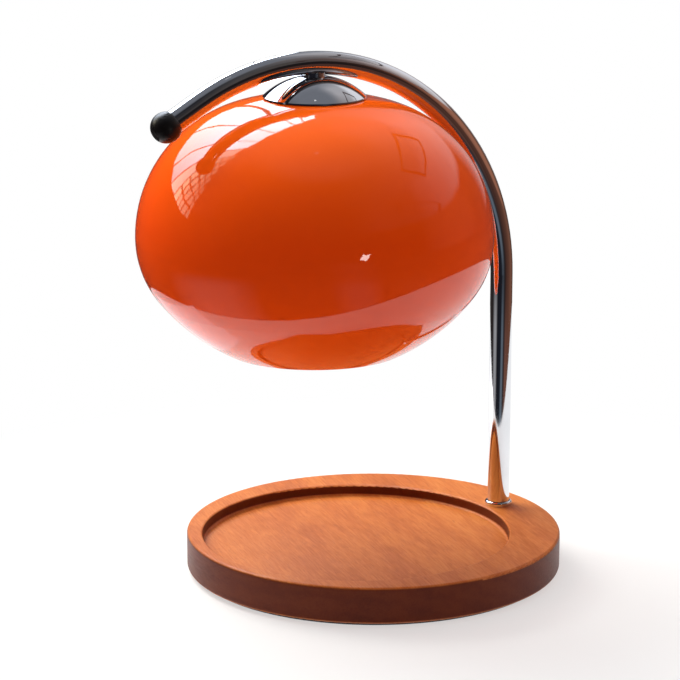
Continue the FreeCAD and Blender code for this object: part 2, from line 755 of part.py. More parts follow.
# Gasket between the dome's inside and the glass.
gasket_out = dome_in_r - d.gasket_inset
gasket_in = gasket_out - d.gasket_width
cap_gasket = turned("cap_gasket", [
    (gasket_in, sphere_height(crown_mid, crown_r, gasket_in), 0.0, crown_mid, -1),
    (gasket_out, sphere_height(crown_mid, crown_r, gasket_out)),
    (gasket_out, sphere_height(dome_mid, dome_in, gasket_out), 0.0, dome_mid, 1),
    (gasket_in, sphere_height(dome_mid, dome_in, gasket_in)),
], x=head_x)


# Glass shade: crown, side and foot arcs that run into each other, with a rounded lower lip.
def side_radius(arc_radius, height):
    """Radius of the side arc that meets an arc on the axis without a kink."""
    rise = arc_radius - height
    return (squared(arc_radius) - squared(shade_r) - squared(rise)) / (2 * (arc_radius - shade_r))


def meeting_point(arc_radius, height, side, radius):
    """Where an arc on the axis meets the side arc, out from the axis and away from the widest height."""
    gap = arc_radius - side
    out = radius * (shade_r - side) / gap
    away = height - arc_radius + radius * (arc_radius - height) / gap
    return out, away


upper_side = named("upper_side", side_radius(crown_r, upper_height))
lower_side = named("lower_side", side_radius(foot_r, lower_height))
upper_x, upper_z = meeting_point(crown_r, upper_height, upper_side, crown_r)
lower_x, lower_z = meeting_point(foot_r, lower_height, lower_side, foot_r)
upper_in_x, upper_in_z = meeting_point(crown_r, upper_height, upper_side, crown_in)
lower_in_x, lower_in_z = meeting_point(foot_r, lower_height, lower_side, foot_in)
lip_sine = opening_r / foot_r
lip_cosine = root(1.0 - squared(lip_sine))
lip_mid_r = foot_r - d.shade_wall / 2
glass_shade = turned("glass_shade", [
    (shade_hole_r, sphere_height(crown_mid, crown_r, shade_hole_r), 0.0, crown_mid, -1),
    (upper_x, shade_z + upper_z, shade_r - upper_side, shade_z, -1),
    (shade_r, shade_z, shade_r - lower_side, shade_z, -1),
    (lower_x, shade_z - lower_z, 0.0, foot_mid, -1),
    (opening_r, foot_mid - foot_r * lip_cosine,
     lip_mid_r * lip_sine, foot_mid - lip_mid_r * lip_cosine, -1),
    (foot_in * lip_sine, foot_mid - foot_in * lip_cosine, 0.0, foot_mid, 1),
    (lower_in_x, shade_z - lower_in_z, shade_r - lower_side, shade_z, 1),
    (shade_r - d.shade_wall, shade_z, shade_r - upper_side, shade_z, 1),
    (upper_in_x, shade_z + upper_in_z, 0.0, crown_mid, 1),
    (shade_hole_r, sphere_height(crown_mid, crown_in, shade_hole_r)),
], x=head_x)

# Gallery plate: a hat of sheet whose crown centres the glass and whose brim carries it.
gallery_plate = turned("gallery_plate", [
    (hub_in, flange_z - d.gallery_sheet),
    (gallery_r, flange_z - d.gallery_sheet),
    (gallery_r, flange_z),
    (hub_r, flange_z),
    (hub_r, hub_top),
    (nut_hole_r, hub_top),
    (nut_hole_r, hub_low),
    (hub_in, hub_low),
], x=head_x)
gallery_gasket_in = gallery_gasket_r - d.gallery_gasket_width
gallery_gasket = turned("gallery_gasket", [
    (gallery_gasket_in, flange_z),
    (gallery_gasket_r, flange_z),
    (gallery_gasket_r, gallery_rim_z, 0.0, crown_mid, 1),
    (gallery_gasket_in, sphere_height(crown_mid, crown_in, gallery_gasket_in)),
], x=head_x)

# Strap that hangs the lampholder under the gallery plate.
holder_bracket = new_body("holder_bracket", head_x)
inner_span = half_span - d.bracket_sheet
foot_in_x = screw_x - d.bracket_foot_margin
foot_top = holder_top + d.bracket_sheet
strap = new_sketch(holder_bracket, "XZ_Plane")
draw_outline(strap, [
    (foot_in_x, holder_top),
    (half_span, holder_top),
    (half_span, hub_low),
    (-half_span, hub_low),
    (-half_span, holder_top),
    (-foot_in_x, holder_top),
    (-foot_in_x, foot_top),
    (-inner_span, foot_top),
    (-inner_span, bracket_low),
    (inner_span, bracket_low),
    (inner_span, foot_top),
    (foot_in_x, foot_top),
])
raised(holder_bracket, strap, d.bracket_width, both_sides=True)
bored_up(holder_bracket, nut_hole_r, 0.0, 0.0, bracket_low - OVERCUT, hub_low + OVERCUT)
screw_r = d.holder_screw_diameter / 2
for side in (1.0, -1.0):
    bored_up(holder_bracket, screw_r + d.thread_play, side * screw_x, 0.0, holder_top - OVERCUT,
             foot_top + OVERCUT)
bracket_washer = turned(
    "bracket_washer", ring(nut_hole_r, d.bracket_washer_diameter / 2, bracket_washer_low, bracket_low), x=head_x
)
bracket_nut = hex_nut(
    "bracket_nut", d.bracket_nut_flats, nut_hole_r, bracket_nut_low, d.bracket_nut_height, head_x
)


# ---------------------------------------------------------------- lampholder
def arc_slot(body, half_width, low, high, side):
    """A curved slot between a pin's locked place and its entry hole."""
    start_x = pin_r * side * sine(d.twist_angle)
    start_y = pin_r * side * cosine(d.twist_angle)
    wide = (pin_r + half_width) * side
    thin = (pin_r - half_width) * side
    sketch = new_sketch(body, "XY_Plane", z=low)
    draw_outline(sketch, [
        (wide * sine(d.twist_angle), wide * cosine(d.twist_angle), 0.0, 0.0, 1),
        (0.0, wide, 0.0, pin_r * side, 1),
        (0.0, thin, 0.0, 0.0, -1),
        (thin * sine(d.twist_angle), thin * cosine(d.twist_angle), start_x, start_y, 1),
    ])
    sunk(body, sketch, high - low, along_normal=True)
    return start_x, start_y


slot_half = d.pin_diameter / 2 + d.pin_play
entry_r = d.pin_head_diameter / 2 + d.pin_play
lamp_holder = turned("lamp_holder", ring(0.0, holder_r, holder_low, holder_top), x=head_x)
for side in (1.0, -1.0):
    entry_x, entry_y = arc_slot(lamp_holder, slot_half, holder_low - OVERCUT, face_top + OVERCUT, side)
    bored_up(lamp_holder, entry_r, entry_x, entry_y, holder_low - OVERCUT, face_top + OVERCUT)
    arc_slot(lamp_holder, pocket_half, face_top, holder_roof, side)
    bored_up(lamp_holder, d.holder_wire_hole / 2, 0.0, side * pin_r, holder_roof - OVERCUT,
             holder_top + OVERCUT)
    bored_up(lamp_holder, screw_r + d.screw_play, side * screw_x, 0.0, holder_low - OVERCUT,
             holder_top + OVERCUT)
    bored_up(lamp_holder, head_hole_r, side * screw_x, 0.0, holder_low - OVERCUT,
             holder_low + d.screw_sink + d.holder_screw_head_height)

# Spring contacts over the pin heads, and the screws from the holder's face into the bracket.
contact_low = pin_head_top + d.contact_gap
contact_top = contact_low + d.contact_sheet
contacts = []
holder_screw_pieces = []
for name, side in (("left", -1.0), ("right", 1.0)):
    contact = new_body(name + "_contact", head_x)
    contact_sketch = new_sketch(contact, "YZ_Plane")
    tab_in = (pin_r + d.pin_diameter / 2 + d.contact_side_play) * side
    tab_out = (pin_r + d.pin_diameter / 2 + d.contact_side_play + d.contact_sheet) * side
    draw_outline(contact_sketch, [
        ((pin_r - d.contact_width / 2) * side, contact_low),
        (tab_out, contact_low),
        (tab_out, holder_roof),
        (tab_in, holder_roof),
        (tab_in, contact_top),
        ((pin_r - d.contact_width / 2) * side, contact_top),
    ])
    raised(contact, contact_sketch, d.contact_width, both_sides=True)
    contacts.append(contact)
    head_low = holder_low + d.screw_sink
    head_top = head_low + d.holder_screw_head_height
    holder_screw_pieces.append(turned(name + "_holder_screw", [
        (0.0, head_low),
        (d.holder_screw_head / 2, head_low),
        (d.holder_screw_head / 2, head_top),
        (screw_r, head_top),
        (screw_r, foot_top + d.holder_screw_end),
        (0.0, foot_top + d.holder_screw_end),
    ], x=head_x + screw_x * side))
holder_contacts = group("holder_contacts", contacts)
holder_screws = group("holder_screws", holder_screw_pieces)

# ---------------------------------------------------------------- bulb
capsule_r = d.capsule_diameter / 2
capsule_in = capsule_r - d.capsule_wall
socket_roof = neck_z + d.capsule_socket
bulb_neck_r = bulb_base_r - d.reflector_wall
bulb_base = turned("bulb_base", [
    (capsule_r + d.capsule_play, neck_z),
    (bulb_base_r, neck_z),
    (bulb_base_r, bulb_top),
    (0.0, bulb_top),
    (0.0, socket_roof),
    (capsule_r + d.capsule_play, socket_roof),
], x=head_x)
pins = []
for name, side in (("left", -1.0), ("right", 1.0)):
    bored_up(bulb_base, d.pin_diameter / 2 + d.pin_fit, 0.0, side * pin_r, bulb_top - d.pin_depth,
             bulb_top + OVERCUT)
    pin = turned(name + "_pin", [
        (0.0, bulb_top - d.pin_depth),
        (d.pin_diameter / 2, bulb_top - d.pin_depth),
        (d.pin_diameter / 2, pin_head_low),
        (d.pin_head_diameter / 2, pin_head_low),
        (d.pin_head_diameter / 2, pin_head_top),
        (0.0, pin_head_top),
    ], x=head_x)
    bind(pin, "Placement.Base.y", side * pin_r)
    pins.append(pin)
bulb_pins = group("bulb_pins", pins)

# The reflector's outside is one arc that stands upright at its mouth and ends at the base.
flare = bulb_r - bulb_base_r
reach = neck_z - mouth_z
bowl_r = named("bowl_r", (squared(flare) + squared(reach)) / (2 * flare))
bowl_x = named("bowl_x", bulb_r - bowl_r)
bowl_in = named("bowl_in", bowl_r - d.reflector_wall)
lens_r = bulb_r - d.reflector_wall
bulb_reflector = turned("bulb_reflector", [
    (lens_r, lens_low),
    (bulb_r, lens_low),
    (bulb_r, mouth_z, bowl_x, mouth_z, 1),
    (bulb_base_r, neck_z),
    (bowl_x + root(squared(bowl_in) - squared(reach)), neck_z, bowl_x, mouth_z, -1),
    (lens_r, mouth_z),
], x=head_x)
bulb_lens = turned(
    "bulb_lens", ring(0.0, lens_r - d.lens_play, lens_low, lens_low + d.lens_thickness), x=head_x
)

# Burner: a small closed glass tube whose upper end sits in the base, with the filament inside.
capsule_low = socket_roof - d.capsule_length
capsule_mid = capsule_low + capsule_r
cavity_top = socket_roof - d.capsule_top
bulb_capsule = turned("bulb_capsule", [
    (0.0, capsule_low, 0.0, capsule_mid, 1),
    (capsule_r, capsule_mid),
    (capsule_r, socket_roof),
    (0.0, socket_roof),
    (0.0, cavity_top),
    (capsule_in, cavity_top),
    (capsule_in, capsule_mid, 0.0, capsule_mid, -1),
    (0.0, capsule_mid - capsule_in),
], x=head_x)
coil_top = cavity_top - d.filament_drop
bulb_filament = turned("bulb_filament", [
    (0.0, coil_top - d.filament_length),
    (d.filament_diameter / 2, coil_top - d.filament_length),
    (d.filament_diameter / 2, coil_top),
    (d.filament_lead_diameter / 2, coil_top),
    (d.filament_lead_diameter / 2, cavity_top),
    (0.0, cavity_top),
], x=head_x)

# ---------------------------------------------------------------- terminal block
block_half = d.block_width / 2
terminal_block = new_body("terminal_block")
block_sketch = new_sketch(terminal_block, "XY_Plane", z=block_low)
draw_outline(block_sketch, [
    (block_far, -block_half),
    (block_near, -block_half),
    (block_near, block_half),
    (block_far, block_half),
])
raised(terminal_block, block_sketch, d.block_height)
fixing_r = d.fixing_screw_diameter / 2
bored_up(terminal_block, fixing_r + d.screw_play, block_mid, 0.0, block_low - OVERCUT, channel_roof + OVERCUT)
sleeve_r = d.sleeve_diameter / 2
screw_rise = sleeve_z - d.wire_diameter / 2
terminal_head_top = block_low + d.screw_sink + d.terminal_screw_head_height
terminal_screw_r = d.terminal_screw_diameter / 2
sleeves = []
terminal_screw_pieces = []
for name, side in (("left", -1.0), ("right", 1.0)):
    pole = side * d.block_pitch / 2
    sleeve_hole = new_sketch(terminal_block, "YZ_Plane", z=block_near + OVERCUT)
    draw_circle(sleeve_hole, sleeve_r + d.sleeve_play, x=pole, y=sleeve_z)
    sunk(terminal_block, sleeve_hole, d.block_length + 2 * OVERCUT)
    sleeve = new_body(name + "_sleeve")
    sleeve_sketch = new_sketch(sleeve, "YZ_Plane", z=block_far)
    draw_circle(sleeve_sketch, sleeve_r, x=pole, y=sleeve_z)
    draw_circle(sleeve_sketch, d.sleeve_bore / 2, x=pole, y=sleeve_z)
    raised(sleeve, sleeve_sketch, d.block_length)
    for number, end in enumerate((-0.5, 0.5)):
        x = block_mid + end * d.terminal_screw_spacing
        bored_up(terminal_block, d.terminal_screw_head / 2 + d.screw_play, x, pole, block_low - OVERCUT,
                 terminal_head_top)
        bored_up(terminal_block, terminal_screw_r + d.thread_play, x, pole, block_low - OVERCUT, sleeve_z)
        bored_up(sleeve, terminal_screw_r + d.thread_play, x, pole, block_low - OVERCUT, sleeve_z)
        screw = turned("%s_terminal_screw_%d" % (name, number), [
            (0.0, block_low + d.screw_sink),
            (d.terminal_screw_head / 2, block_low + d.screw_sink),
            (d.terminal_screw_head / 2, terminal_head_top),
            (terminal_screw_r, terminal_head_top),
            (terminal_screw_r, screw_rise),
            (0.0, screw_rise),
        ], x=x)
        bind(screw, "Placement.Base.y", pole)
        terminal_screw_pieces.append(screw)
    sleeves.append(sleeve)
terminal_sleeves = group("terminal_sleeves", sleeves)
terminal_screws = group("terminal_screws", terminal_screw_pieces)
fixing_head_top = block_low + d.screw_sink + d.fixing_screw_head_height
bored_up(terminal_block, d.fixing_screw_head / 2 + d.screw_play, block_mid, 0.0, block_low - OVERCUT,
         fixing_head_top)
fixing_tip = channel_roof + d.fixing_screw_bite
terminal_fixing_screw = turned("terminal_fixing_screw", [
    (0.0, block_low + d.screw_sink),
    (d.fixing_screw_head / 2, block_low + d.screw_sink),
    (d.fixing_screw_head / 2, fixing_head_top),
    (fixing_r, fixing_head_top),
    (fixing_r, fixing_tip - fixing_r),
    (0.0, fixing_tip),
], x=block_mid)


# ---------------------------------------------------------------- wires
def rounded_route(points, radii):
    """Straight runs joined by tangent arcs, through points with one radius for each inner point."""
    edges = []
    here = points[0]
    for before, corner, after, radius in zip(points, points[1:], points[2:], radii):
        arrive = (corner - before).normalize()
        leave = (after - corner).normalize()
        turn = arrive.getAngle(leave)
        back = radius * math.tan(turn / 2)
        start = corner - arrive * back
        stop = corner + leave * back
        inward = (leave - arrive).normalize()
        middle = corner + inward * (radius / math.cos(turn / 2) - radius)
        if (start - here).Length > 1e-4:
            edges.append(Part.LineSegment(here, start).toShape())
        edges.append(Part.Arc(start, middle, stop).toShape())
        here = stop
    edges.append(Part.LineSegment(here, points[-1]).toShape())
    return Part.Wire(edges)


def wire_solid(side):
    """One wire from the terminal block through the post, the arm and the nipple to its contact."""
    low = wood_low.value + d.wire_pad_gap.value + d.wire_diameter.value / 2
    pole = side * d.block_pitch.value / 2
    lane = side * d.wire_spacing.value / 2
    exit_x = block_near.value + d.wire_run.value
    head_bend = d.wire_head_bend.value
    bend = bend_r.value
    leave = math.acos((head_x.value + head_bend - bend_x.value) / (bend - head_bend))
    turn_z = bend_z.value + bend * math.tan(leave / 2)
    over = bend * math.tan(leave / 2) + head_bend * math.tan((math.pi - leave) / 2)
    over_z = turn_z + over * math.cos(leave)
    spread = holder_top.value + (nipple_low.value - holder_top.value) * 0.25
    gather = holder_top.value + (nipple_low.value - holder_top.value) * 0.80
    contact_pole = side * pin_r.value
    points = [
        FreeCAD.Vector(block_near.value - d.wire_insert.value, pole, sleeve_z.value),
        FreeCAD.Vector(exit_x, pole, sleeve_z.value),
        FreeCAD.Vector(exit_x + d.wire_slope.value, lane, low),
        FreeCAD.Vector(post_x.value, lane, low),
        FreeCAD.Vector(post_x.value, lane, turn_z),
        FreeCAD.Vector(head_x.value, lane, over_z),
        FreeCAD.Vector(head_x.value, lane, gather),
        FreeCAD.Vector(head_x.value, contact_pole, spread),
        FreeCAD.Vector(head_x.value, contact_pole, contact_top.value),
    ]
    side_bend = d.wire_side_bend.value
    radii = [side_bend, side_bend, d.wire_foot_bend.value, bend, head_bend, side_bend, side_bend]
    route = rounded_route(points, radii)
    section = Part.Wire(Part.makeCircle(d.wire_diameter.value / 2, points[0], FreeCAD.Vector(1, 0, 0)))
    solid = route.makePipeShell([section], True, False)
    expected = math.pi * (d.wire_diameter.value / 2) ** 2 * route.Length
    print("wire: volume %.1f mm3, section times length %.1f mm3" % (solid.Volume, expected))
    return solid


lead_wires = doc.addObject("Part::Feature", "lead_wires")
lead_wires.Label = "lead_wires"
lead_wires.Shape = Part.makeCompound([wire_solid(1), wire_solid(-1)])

# ---------------------------------------------------------------- checks and export
doc.recompute()
PIECES = [
    bottom_pad, wood_base, cord_bushing, arm_tube, post_flange, post_stud, post_washer, post_lock_washer,
    post_nut, arm_end_cap, head_nipple, neck_collar, shade_cap, cap_nut, cap_gasket, glass_shade,
    gallery_plate, gallery_gasket, holder_bracket, bracket_washer, bracket_nut, lamp_holder,
    holder_contacts, holder_screws, bulb_base, bulb_pins, bulb_reflector, bulb_lens, bulb_capsule,
    bulb_filament, terminal_block, terminal_sleeves, terminal_screws, terminal_fixing_screw, lead_wires,
]
for thing in doc.Objects:
    if "Invalid" in thing.State or "Error" in thing.State:
        raise ValueError(thing.Label + " could not be built")
    if thing.TypeId == "Sketcher::SketchObject" and not thing.FullyConstrained:
        raise ValueError(thing.Label + " is not fully constrained")
os.makedirs("parts", exist_ok=True)
for piece in PIECES:
    shape = piece.Shape
    if shape.isNull() or not shape.isValid():
        raise ValueError(piece.Label + " has no valid shape")
    shape.exportStep("parts/" + piece.Label + ".step")
    box = shape.BoundBox
    print("%-22s solids %d  volume %10.1f  x %7.1f %7.1f  y %7.1f %7.1f  z %7.1f %7.1f" % (
        piece.Label, len(shape.Solids), shape.Volume, box.XMin, box.XMax, box.YMin, box.YMax,
        box.ZMin, box.ZMax))
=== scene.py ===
# %% [markdown]
# A candle warmer lamp: a turned wooden base, a bent chromed tube and an orange glass shade that hides a
# warming bulb. The solid parts come ready made and fixed in place. This lesson gives each of them its finish
# and sets up a small photo studio round the lamp.

# %% Load the lamp
import json
import math

import bpy
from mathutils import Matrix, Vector


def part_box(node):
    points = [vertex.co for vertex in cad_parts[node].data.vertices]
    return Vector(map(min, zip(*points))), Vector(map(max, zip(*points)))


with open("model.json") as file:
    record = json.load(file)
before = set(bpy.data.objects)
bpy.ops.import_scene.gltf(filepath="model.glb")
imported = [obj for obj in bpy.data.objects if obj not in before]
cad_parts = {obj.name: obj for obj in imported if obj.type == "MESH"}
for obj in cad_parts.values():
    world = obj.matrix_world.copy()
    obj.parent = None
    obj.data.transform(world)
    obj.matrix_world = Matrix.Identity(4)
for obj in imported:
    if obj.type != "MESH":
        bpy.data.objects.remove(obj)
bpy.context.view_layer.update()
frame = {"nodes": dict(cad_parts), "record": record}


# %% [markdown]
# Every finish below is a node tree, so the first tools are for building trees. A tree could be clicked
# together by hand, but a few lines of code keep it readable: one call adds a node and wires its inputs.
# An input takes either a plain value, which is set on the socket, or another node's output, which is linked.

# %% A helper that adds and wires nodes
class Tree:
    """Adds nodes to one node tree and wires them."""

    def __init__(self, tree):
        self.tree = tree

    def add(self, kind, inputs=None, **settings):
        node = self.tree.nodes.new(kind)
        for name, value in settings.items():
            setattr(node, name, value)
        for name, value in (inputs or {}).items():
            self.feed(node.inputs[name], value)
        return node

    def feed(self, socket, value):
        if isinstance(value, bpy.types.NodeSocket):
            self.tree.links.new(value, socket)
        else:
            socket.default_value = value

    def math(self, operation, first, second=0.0, clamp=False):
        node = self.add("ShaderNodeMath", {0: first, 1: second}, operation=operation, use_clamp=clamp)
        return node.outputs[0]

    def vector_math(self, operation, first, second=(0.0, 0.0, 0.0)):
        return self.add("ShaderNodeVectorMath", {0: first, 1: second}, operation=operation).outputs

    def noise(self, vector, scale, detail=3.0, roughness=0.5, distortion=0.0):
        return self.add("ShaderNodeTexNoise", {
            "Vector": vector, "Scale": scale, "Detail": detail, "Roughness": roughness,
            "Distortion": distortion,
        }).outputs["Fac"]

    def span(self, value, low, high, to_low=0.0, to_high=1.0, smooth=False):
        return self.add("ShaderNodeMapRange", {
            "Value": value, "From Min": low, "From Max": high, "To Min": to_low, "To Max": to_high,
        }, interpolation_type="SMOOTHSTEP" if smooth else "LINEAR").outputs["Result"]

    def ramp(self, value, stops):
        node = self.add("ShaderNodeValToRGB", {"Fac": value})
        elements = node.color_ramp.elements
        while len(elements) < len(stops):
            elements.new(0.5)
        for element, (place, colour) in zip(elements, stops):
            element.position = place
            element.color = (*colour, 1.0)
        return node.outputs["Color"]

    def mix(self, factor, first, second, blend="MIX"):
        node = self.add("ShaderNodeMix", data_type="RGBA", blend_type=blend)
        sockets = [s for s in node.inputs if s.enabled]
        for socket, value in zip(sockets, (factor, first, second)):
            self.feed(socket, value)
        return next(s for s in node.outputs if s.enabled)

    def scaled(self, vector, scale, turn=(0.0, 0.0, 0.0), shift=(0.0, 0.0, 0.0)):
        return self.add("ShaderNodeMapping", {
            "Vector": vector, "Scale": scale, "Rotation": turn, "Location": shift,
        }).outputs["Vector"]

    def place(self):
        return self.add("ShaderNodeTexCoord").outputs["Object"]

    def bump(self, height, strength, distance):
        inputs = {"Height": height, "Strength": strength, "Distance": distance}
        return self.add("ShaderNodeBump", inputs).outputs["Normal"]


def finish(name, **plain):
    """A material with its shader, whose plain values are set on the shader's own sockets."""
    material = bpy.data.materials.new(name)
    material.use_nodes = True
    shader = material.node_tree.nodes["Principled BSDF"]
    for socket, value in plain.items():
        shader.inputs[socket.replace("_", " ")].default_value = value
    return material, Tree(material.node_tree), shader


def group(name, inputs, outputs):
    """An empty node group with number inputs and named outputs, and the tree to fill it with."""
    made = bpy.data.node_groups.new(name, "ShaderNodeTree")
    for socket, value in inputs.items():
        made.interface.new_socket(socket, in_out="INPUT", socket_type="NodeSocketFloat").default_value = value
    for socket in outputs:
        made.interface.new_socket(socket, in_out="OUTPUT", socket_type="NodeSocketFloat")
    return made, Tree(made), made.nodes.new("NodeGroupInput"), made.nodes.new("NodeGroupOutput")


def use(tree, made, **values):
    """Places a node group in a tree with its own values."""
    node = tree.add("ShaderNodeGroup", node_tree=made)
    for socket, value in values.items():
        tree.feed(node.inputs[socket.replace("_", " ")], value)
    return node.outputs


print("helpers ready")

# %% [markdown]
# Lacquer, glass and metal share one look at close range: faint smudges that change the gloss, and on metal
# hairline scratches too. Painting them on each part would take many images. Instead one node group makes both
# from noise, and each finish that uses it sets its own scale.

# %% Shared effect: handling marks
handling, tree, marks_in, marks_out = group(
    "handling_marks", {"Smudge Scale": 40.0, "Scratch Scale": 300.0}, ["Smudge", "Scratch"])
place = tree.place()
smudge = tree.noise(place, marks_in.outputs["Smudge Scale"], detail=4.0, roughness=0.6)
SMUDGE_MASK = (0.35, 0.7)
tree.feed(marks_out.inputs["Smudge"], tree.span(smudge, *SMUDGE_MASK))
SCRATCH_STRETCH, SCRATCH_TURN, SCRATCH_MASK = (1.0, 0.06, 0.4), (0.5, 0.3, 0.9), (0.6, 0.72)
lines = tree.scaled(place, SCRATCH_STRETCH, turn=SCRATCH_TURN)
scratch = tree.noise(lines, marks_in.outputs["Scratch Scale"], detail=2.0, roughness=0.7)
tree.feed(marks_out.inputs["Scratch"], tree.span(scratch, *SCRATCH_MASK))
print("group:", handling.name)

# %% [markdown]
# Cast, moulded and painted surfaces are never quite even: the skin has a fine grain and the colour drifts a
# little over a centimetre or two. One group gives both, so that rubber, plastic, ceramic and paint can differ
# only in their numbers.

# %% Shared effect: moulded skin
skin, tree, skin_in, skin_out = group(
    "moulded_skin", {"Drift Scale": 60.0, "Grain Scale": 1800.0}, ["Drift", "Grain"])
place = tree.place()
tree.feed(skin_out.inputs["Drift"], tree.noise(place, skin_in.outputs["Drift Scale"], detail=2.0))
grain = tree.noise(place, skin_in.outputs["Grain Scale"], detail=3.0, roughness=0.65)
tree.feed(skin_out.inputs["Grain"], grain)
print("group:", skin.name)

# %% [markdown]
# The base is one disc turned from a glued board and stained a warm orange brown under satin lacquer. An
# image of wood would repeat and would smear down the edge. A solid pattern, cut through by the surface as
# real wood is, gives long fibres on the top and end grain at two sides without any unwrapping. Upright
# faces are painted darker than the flat top, a painted shade that makes the turned edge look dim.

# %% Wood
GRAIN_TURN = math.radians(12)
RING_STRETCH, RING_SHIFT = (1.0, 0.35, 1.0), (0.06, 0.0, 0.16)
FIBRE_STRETCH, BROAD_STRETCH = (1150.0, 70.0, 1150.0), (34.0, 9.0, 34.0)
PORE_STRETCH = (1700.0, 210.0, 1700.0)
RING_SHARE, FIBRE_SHARE, BROAD_SHARE = 0.12, 0.42, 0.46
PORE_MASK, PORE_COLOUR, PORE_SHARE, PORE_DEPTH = (0.62, 0.72), (0.22, 0.050, 0.012, 1.0), 0.25, 0.6
# The colour that darkens upright faces is a painted shade, not a stain.
UPRIGHT_PAINTED_SHADE, FLAT_TO_UPRIGHT = (0.24, 0.13, 0.095, 1.0), (0.75, 0.15)
GRAIN_STRENGTH, GRAIN_DEPTH = 0.22, 0.00012
wood, tree, shader = finish(
    "stained_wood", IOR=1.38, Specular_IOR_Level=0.25, Coat_Roughness=0.22, Coat_IOR=1.35)
place = tree.place()
along = tree.scaled(place, (1.0, 1.0, 1.0), turn=(0.0, 0.0, GRAIN_TURN))
rings = tree.add("ShaderNodeTexWave", {
    "Vector": tree.scaled(along, RING_STRETCH, shift=RING_SHIFT),
    "Scale": 34.0, "Distortion": 5.0, "Detail": 2.0, "Detail Scale": 5.0, "Detail Roughness": 0.5,
}, wave_type="RINGS", rings_direction="Y", wave_profile="SIN").outputs["Fac"]
fibre = tree.noise(tree.scaled(along, FIBRE_STRETCH), 1.0, detail=3.0, roughness=0.6)
broad = tree.noise(tree.scaled(along, BROAD_STRETCH), 1.0, detail=2.0)
pores = tree.span(tree.noise(tree.scaled(along, PORE_STRETCH), 1.0, detail=1.0), *PORE_MASK)
tone = tree.math(
    "ADD", tree.math("MULTIPLY", rings, RING_SHARE), tree.math("MULTIPLY", fibre, FIBRE_SHARE))
tone = tree.math("ADD", tone, tree.math("MULTIPLY", broad, BROAD_SHARE), clamp=True)
colour = tree.ramp(tone, [
    (0.26, (0.350, 0.081, 0.013)), (0.44, (0.465, 0.124, 0.022)),
    (0.58, (0.545, 0.164, 0.033)), (0.78, (0.630, 0.222, 0.053)),
])
colour = tree.mix(tree.math("MULTIPLY", pores, PORE_SHARE), colour, PORE_COLOUR)
# Upright faces are darkened by a multiplied colour, a painted shade for the dim turned edge.
facing = tree.add("ShaderNodeSeparateXYZ", {0: tree.add("ShaderNodeNewGeometry").outputs["Normal"]})
level = tree.math("ABSOLUTE", facing.outputs["Z"])
side = tree.span(level, *FLAT_TO_UPRIGHT, smooth=True)
colour = tree.mix(side, colour, UPRIGHT_PAINTED_SHADE, blend="MULTIPLY")
tree.feed(shader.inputs["Base Color"], colour)
tree.feed(shader.inputs["Roughness"], tree.span(fibre, 0.2, 0.8, 0.50, 0.38))
marks = use(tree, handling, Smudge_Scale=28.0)
tree.feed(shader.inputs["Coat Weight"], tree.span(marks["Smudge"], 0.0, 1.0, 0.14, 0.06))
height = tree.math("SUBTRACT", fibre, tree.math("MULTIPLY", pores, PORE_DEPTH))
tree.feed(shader.inputs["Normal"], tree.bump(height, GRAIN_STRENGTH, GRAIN_DEPTH))
print("finish:", wood.name)

# %% [markdown]
# The shade is cased glass: a thin skin of clear orange over a body of white opal. Seen from outside it is
# one deep glossy colour. Its colour is painted by height: redder round the belly and more orange and a
# little lighter towards the top, slightly so at the bottom too. That is a painted shade and a painted
# highlight for how light falls on the globe; a small random drift of the skin lies over it. Seen from
# inside it is nearly white. The two could be two materials on two sets of faces, but the part is one
# solid, so the material asks each point whether its surface looks outwards or inwards and mixes the
# colours by that. Blown glass is also slightly wavy, which bends what it mirrors.

# %% Orange cased glass
shade_low, shade_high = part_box("glass_shade")
SHADE_MIDDLE = (shade_low + shade_high) / 2
TURNING_EDGE, CASING_DRIFT = 0.002, 0.06
WAVE_SCALE, WAVE_STRENGTH, WAVE_DEPTH = 22.0, 0.10, 0.0006
glass, tree, shader = finish("orange_cased_glass", IOR=1.62)
place = tree.place()
outward = tree.vector_math("ADD", place, tuple(-SHADE_MIDDLE))[0]
normal = tree.add("ShaderNodeNewGeometry").outputs["Normal"]
facing = tree.vector_math("DOT_PRODUCT", outward, normal)["Value"]
outside = tree.span(facing, -TURNING_EDGE, TURNING_EDGE)
flash = tree.noise(tree.scaled(place, (1.0, 1.0, 2.4)), 9.0, detail=2.0, distortion=0.6)
level = tree.add("ShaderNodeSeparateXYZ", {0: place}).outputs["Z"]
# Height gives a painted shade round the belly and a painted highlight towards the top; the flash noise adds a
# random drift.
casing_drift_and_painted_light = tree.math("ADD", tree.span(level, shade_low.z, shade_high.z),
                   tree.span(flash, 0.2, 0.8, -CASING_DRIFT, CASING_DRIFT))
orange = tree.ramp(casing_drift_and_painted_light, [
    (0.04, (0.930, 0.096, 0.0040)), (0.30, (0.930, 0.084, 0.0034)), (0.55, (0.930, 0.080, 0.0032)),
    (0.75, (0.940, 0.098, 0.0042)), (0.92, (0.950, 0.128, 0.0056)),
])
opal = tree.ramp(flash, [(0.30, (0.82, 0.74, 0.66)), (0.70, (0.86, 0.80, 0.73))])
tree.feed(shader.inputs["Base Color"], tree.mix(outside, opal, orange))
marks = use(tree, handling, Smudge_Scale=14.0)
tree.feed(shader.inputs["Roughness"], tree.span(marks["Smudge"], 0.0, 1.0, 0.025, 0.06))
waves = tree.noise(place, WAVE_SCALE, detail=1.0)
tree.feed(shader.inputs["Normal"], tree.bump(waves, WAVE_STRENGTH, WAVE_DEPTH))
print("finish:", glass.name, "middle", [round(v, 4) for v in SHADE_MIDDLE])

# %% [markdown]
# Chrome is a thin mirror of metal over polished steel. Its own colour is almost nothing: it shows the room.
# So the finish only needs a slightly cool metal, a trace of haze where hands have been, and hairline
# scratches. Zinc plate, brass, the bulb's mirror and its filament are the same metal with other numbers.

# %% Metals
SMUDGE_SHARE, SMUDGE_SHADE = 0.35, 0.82


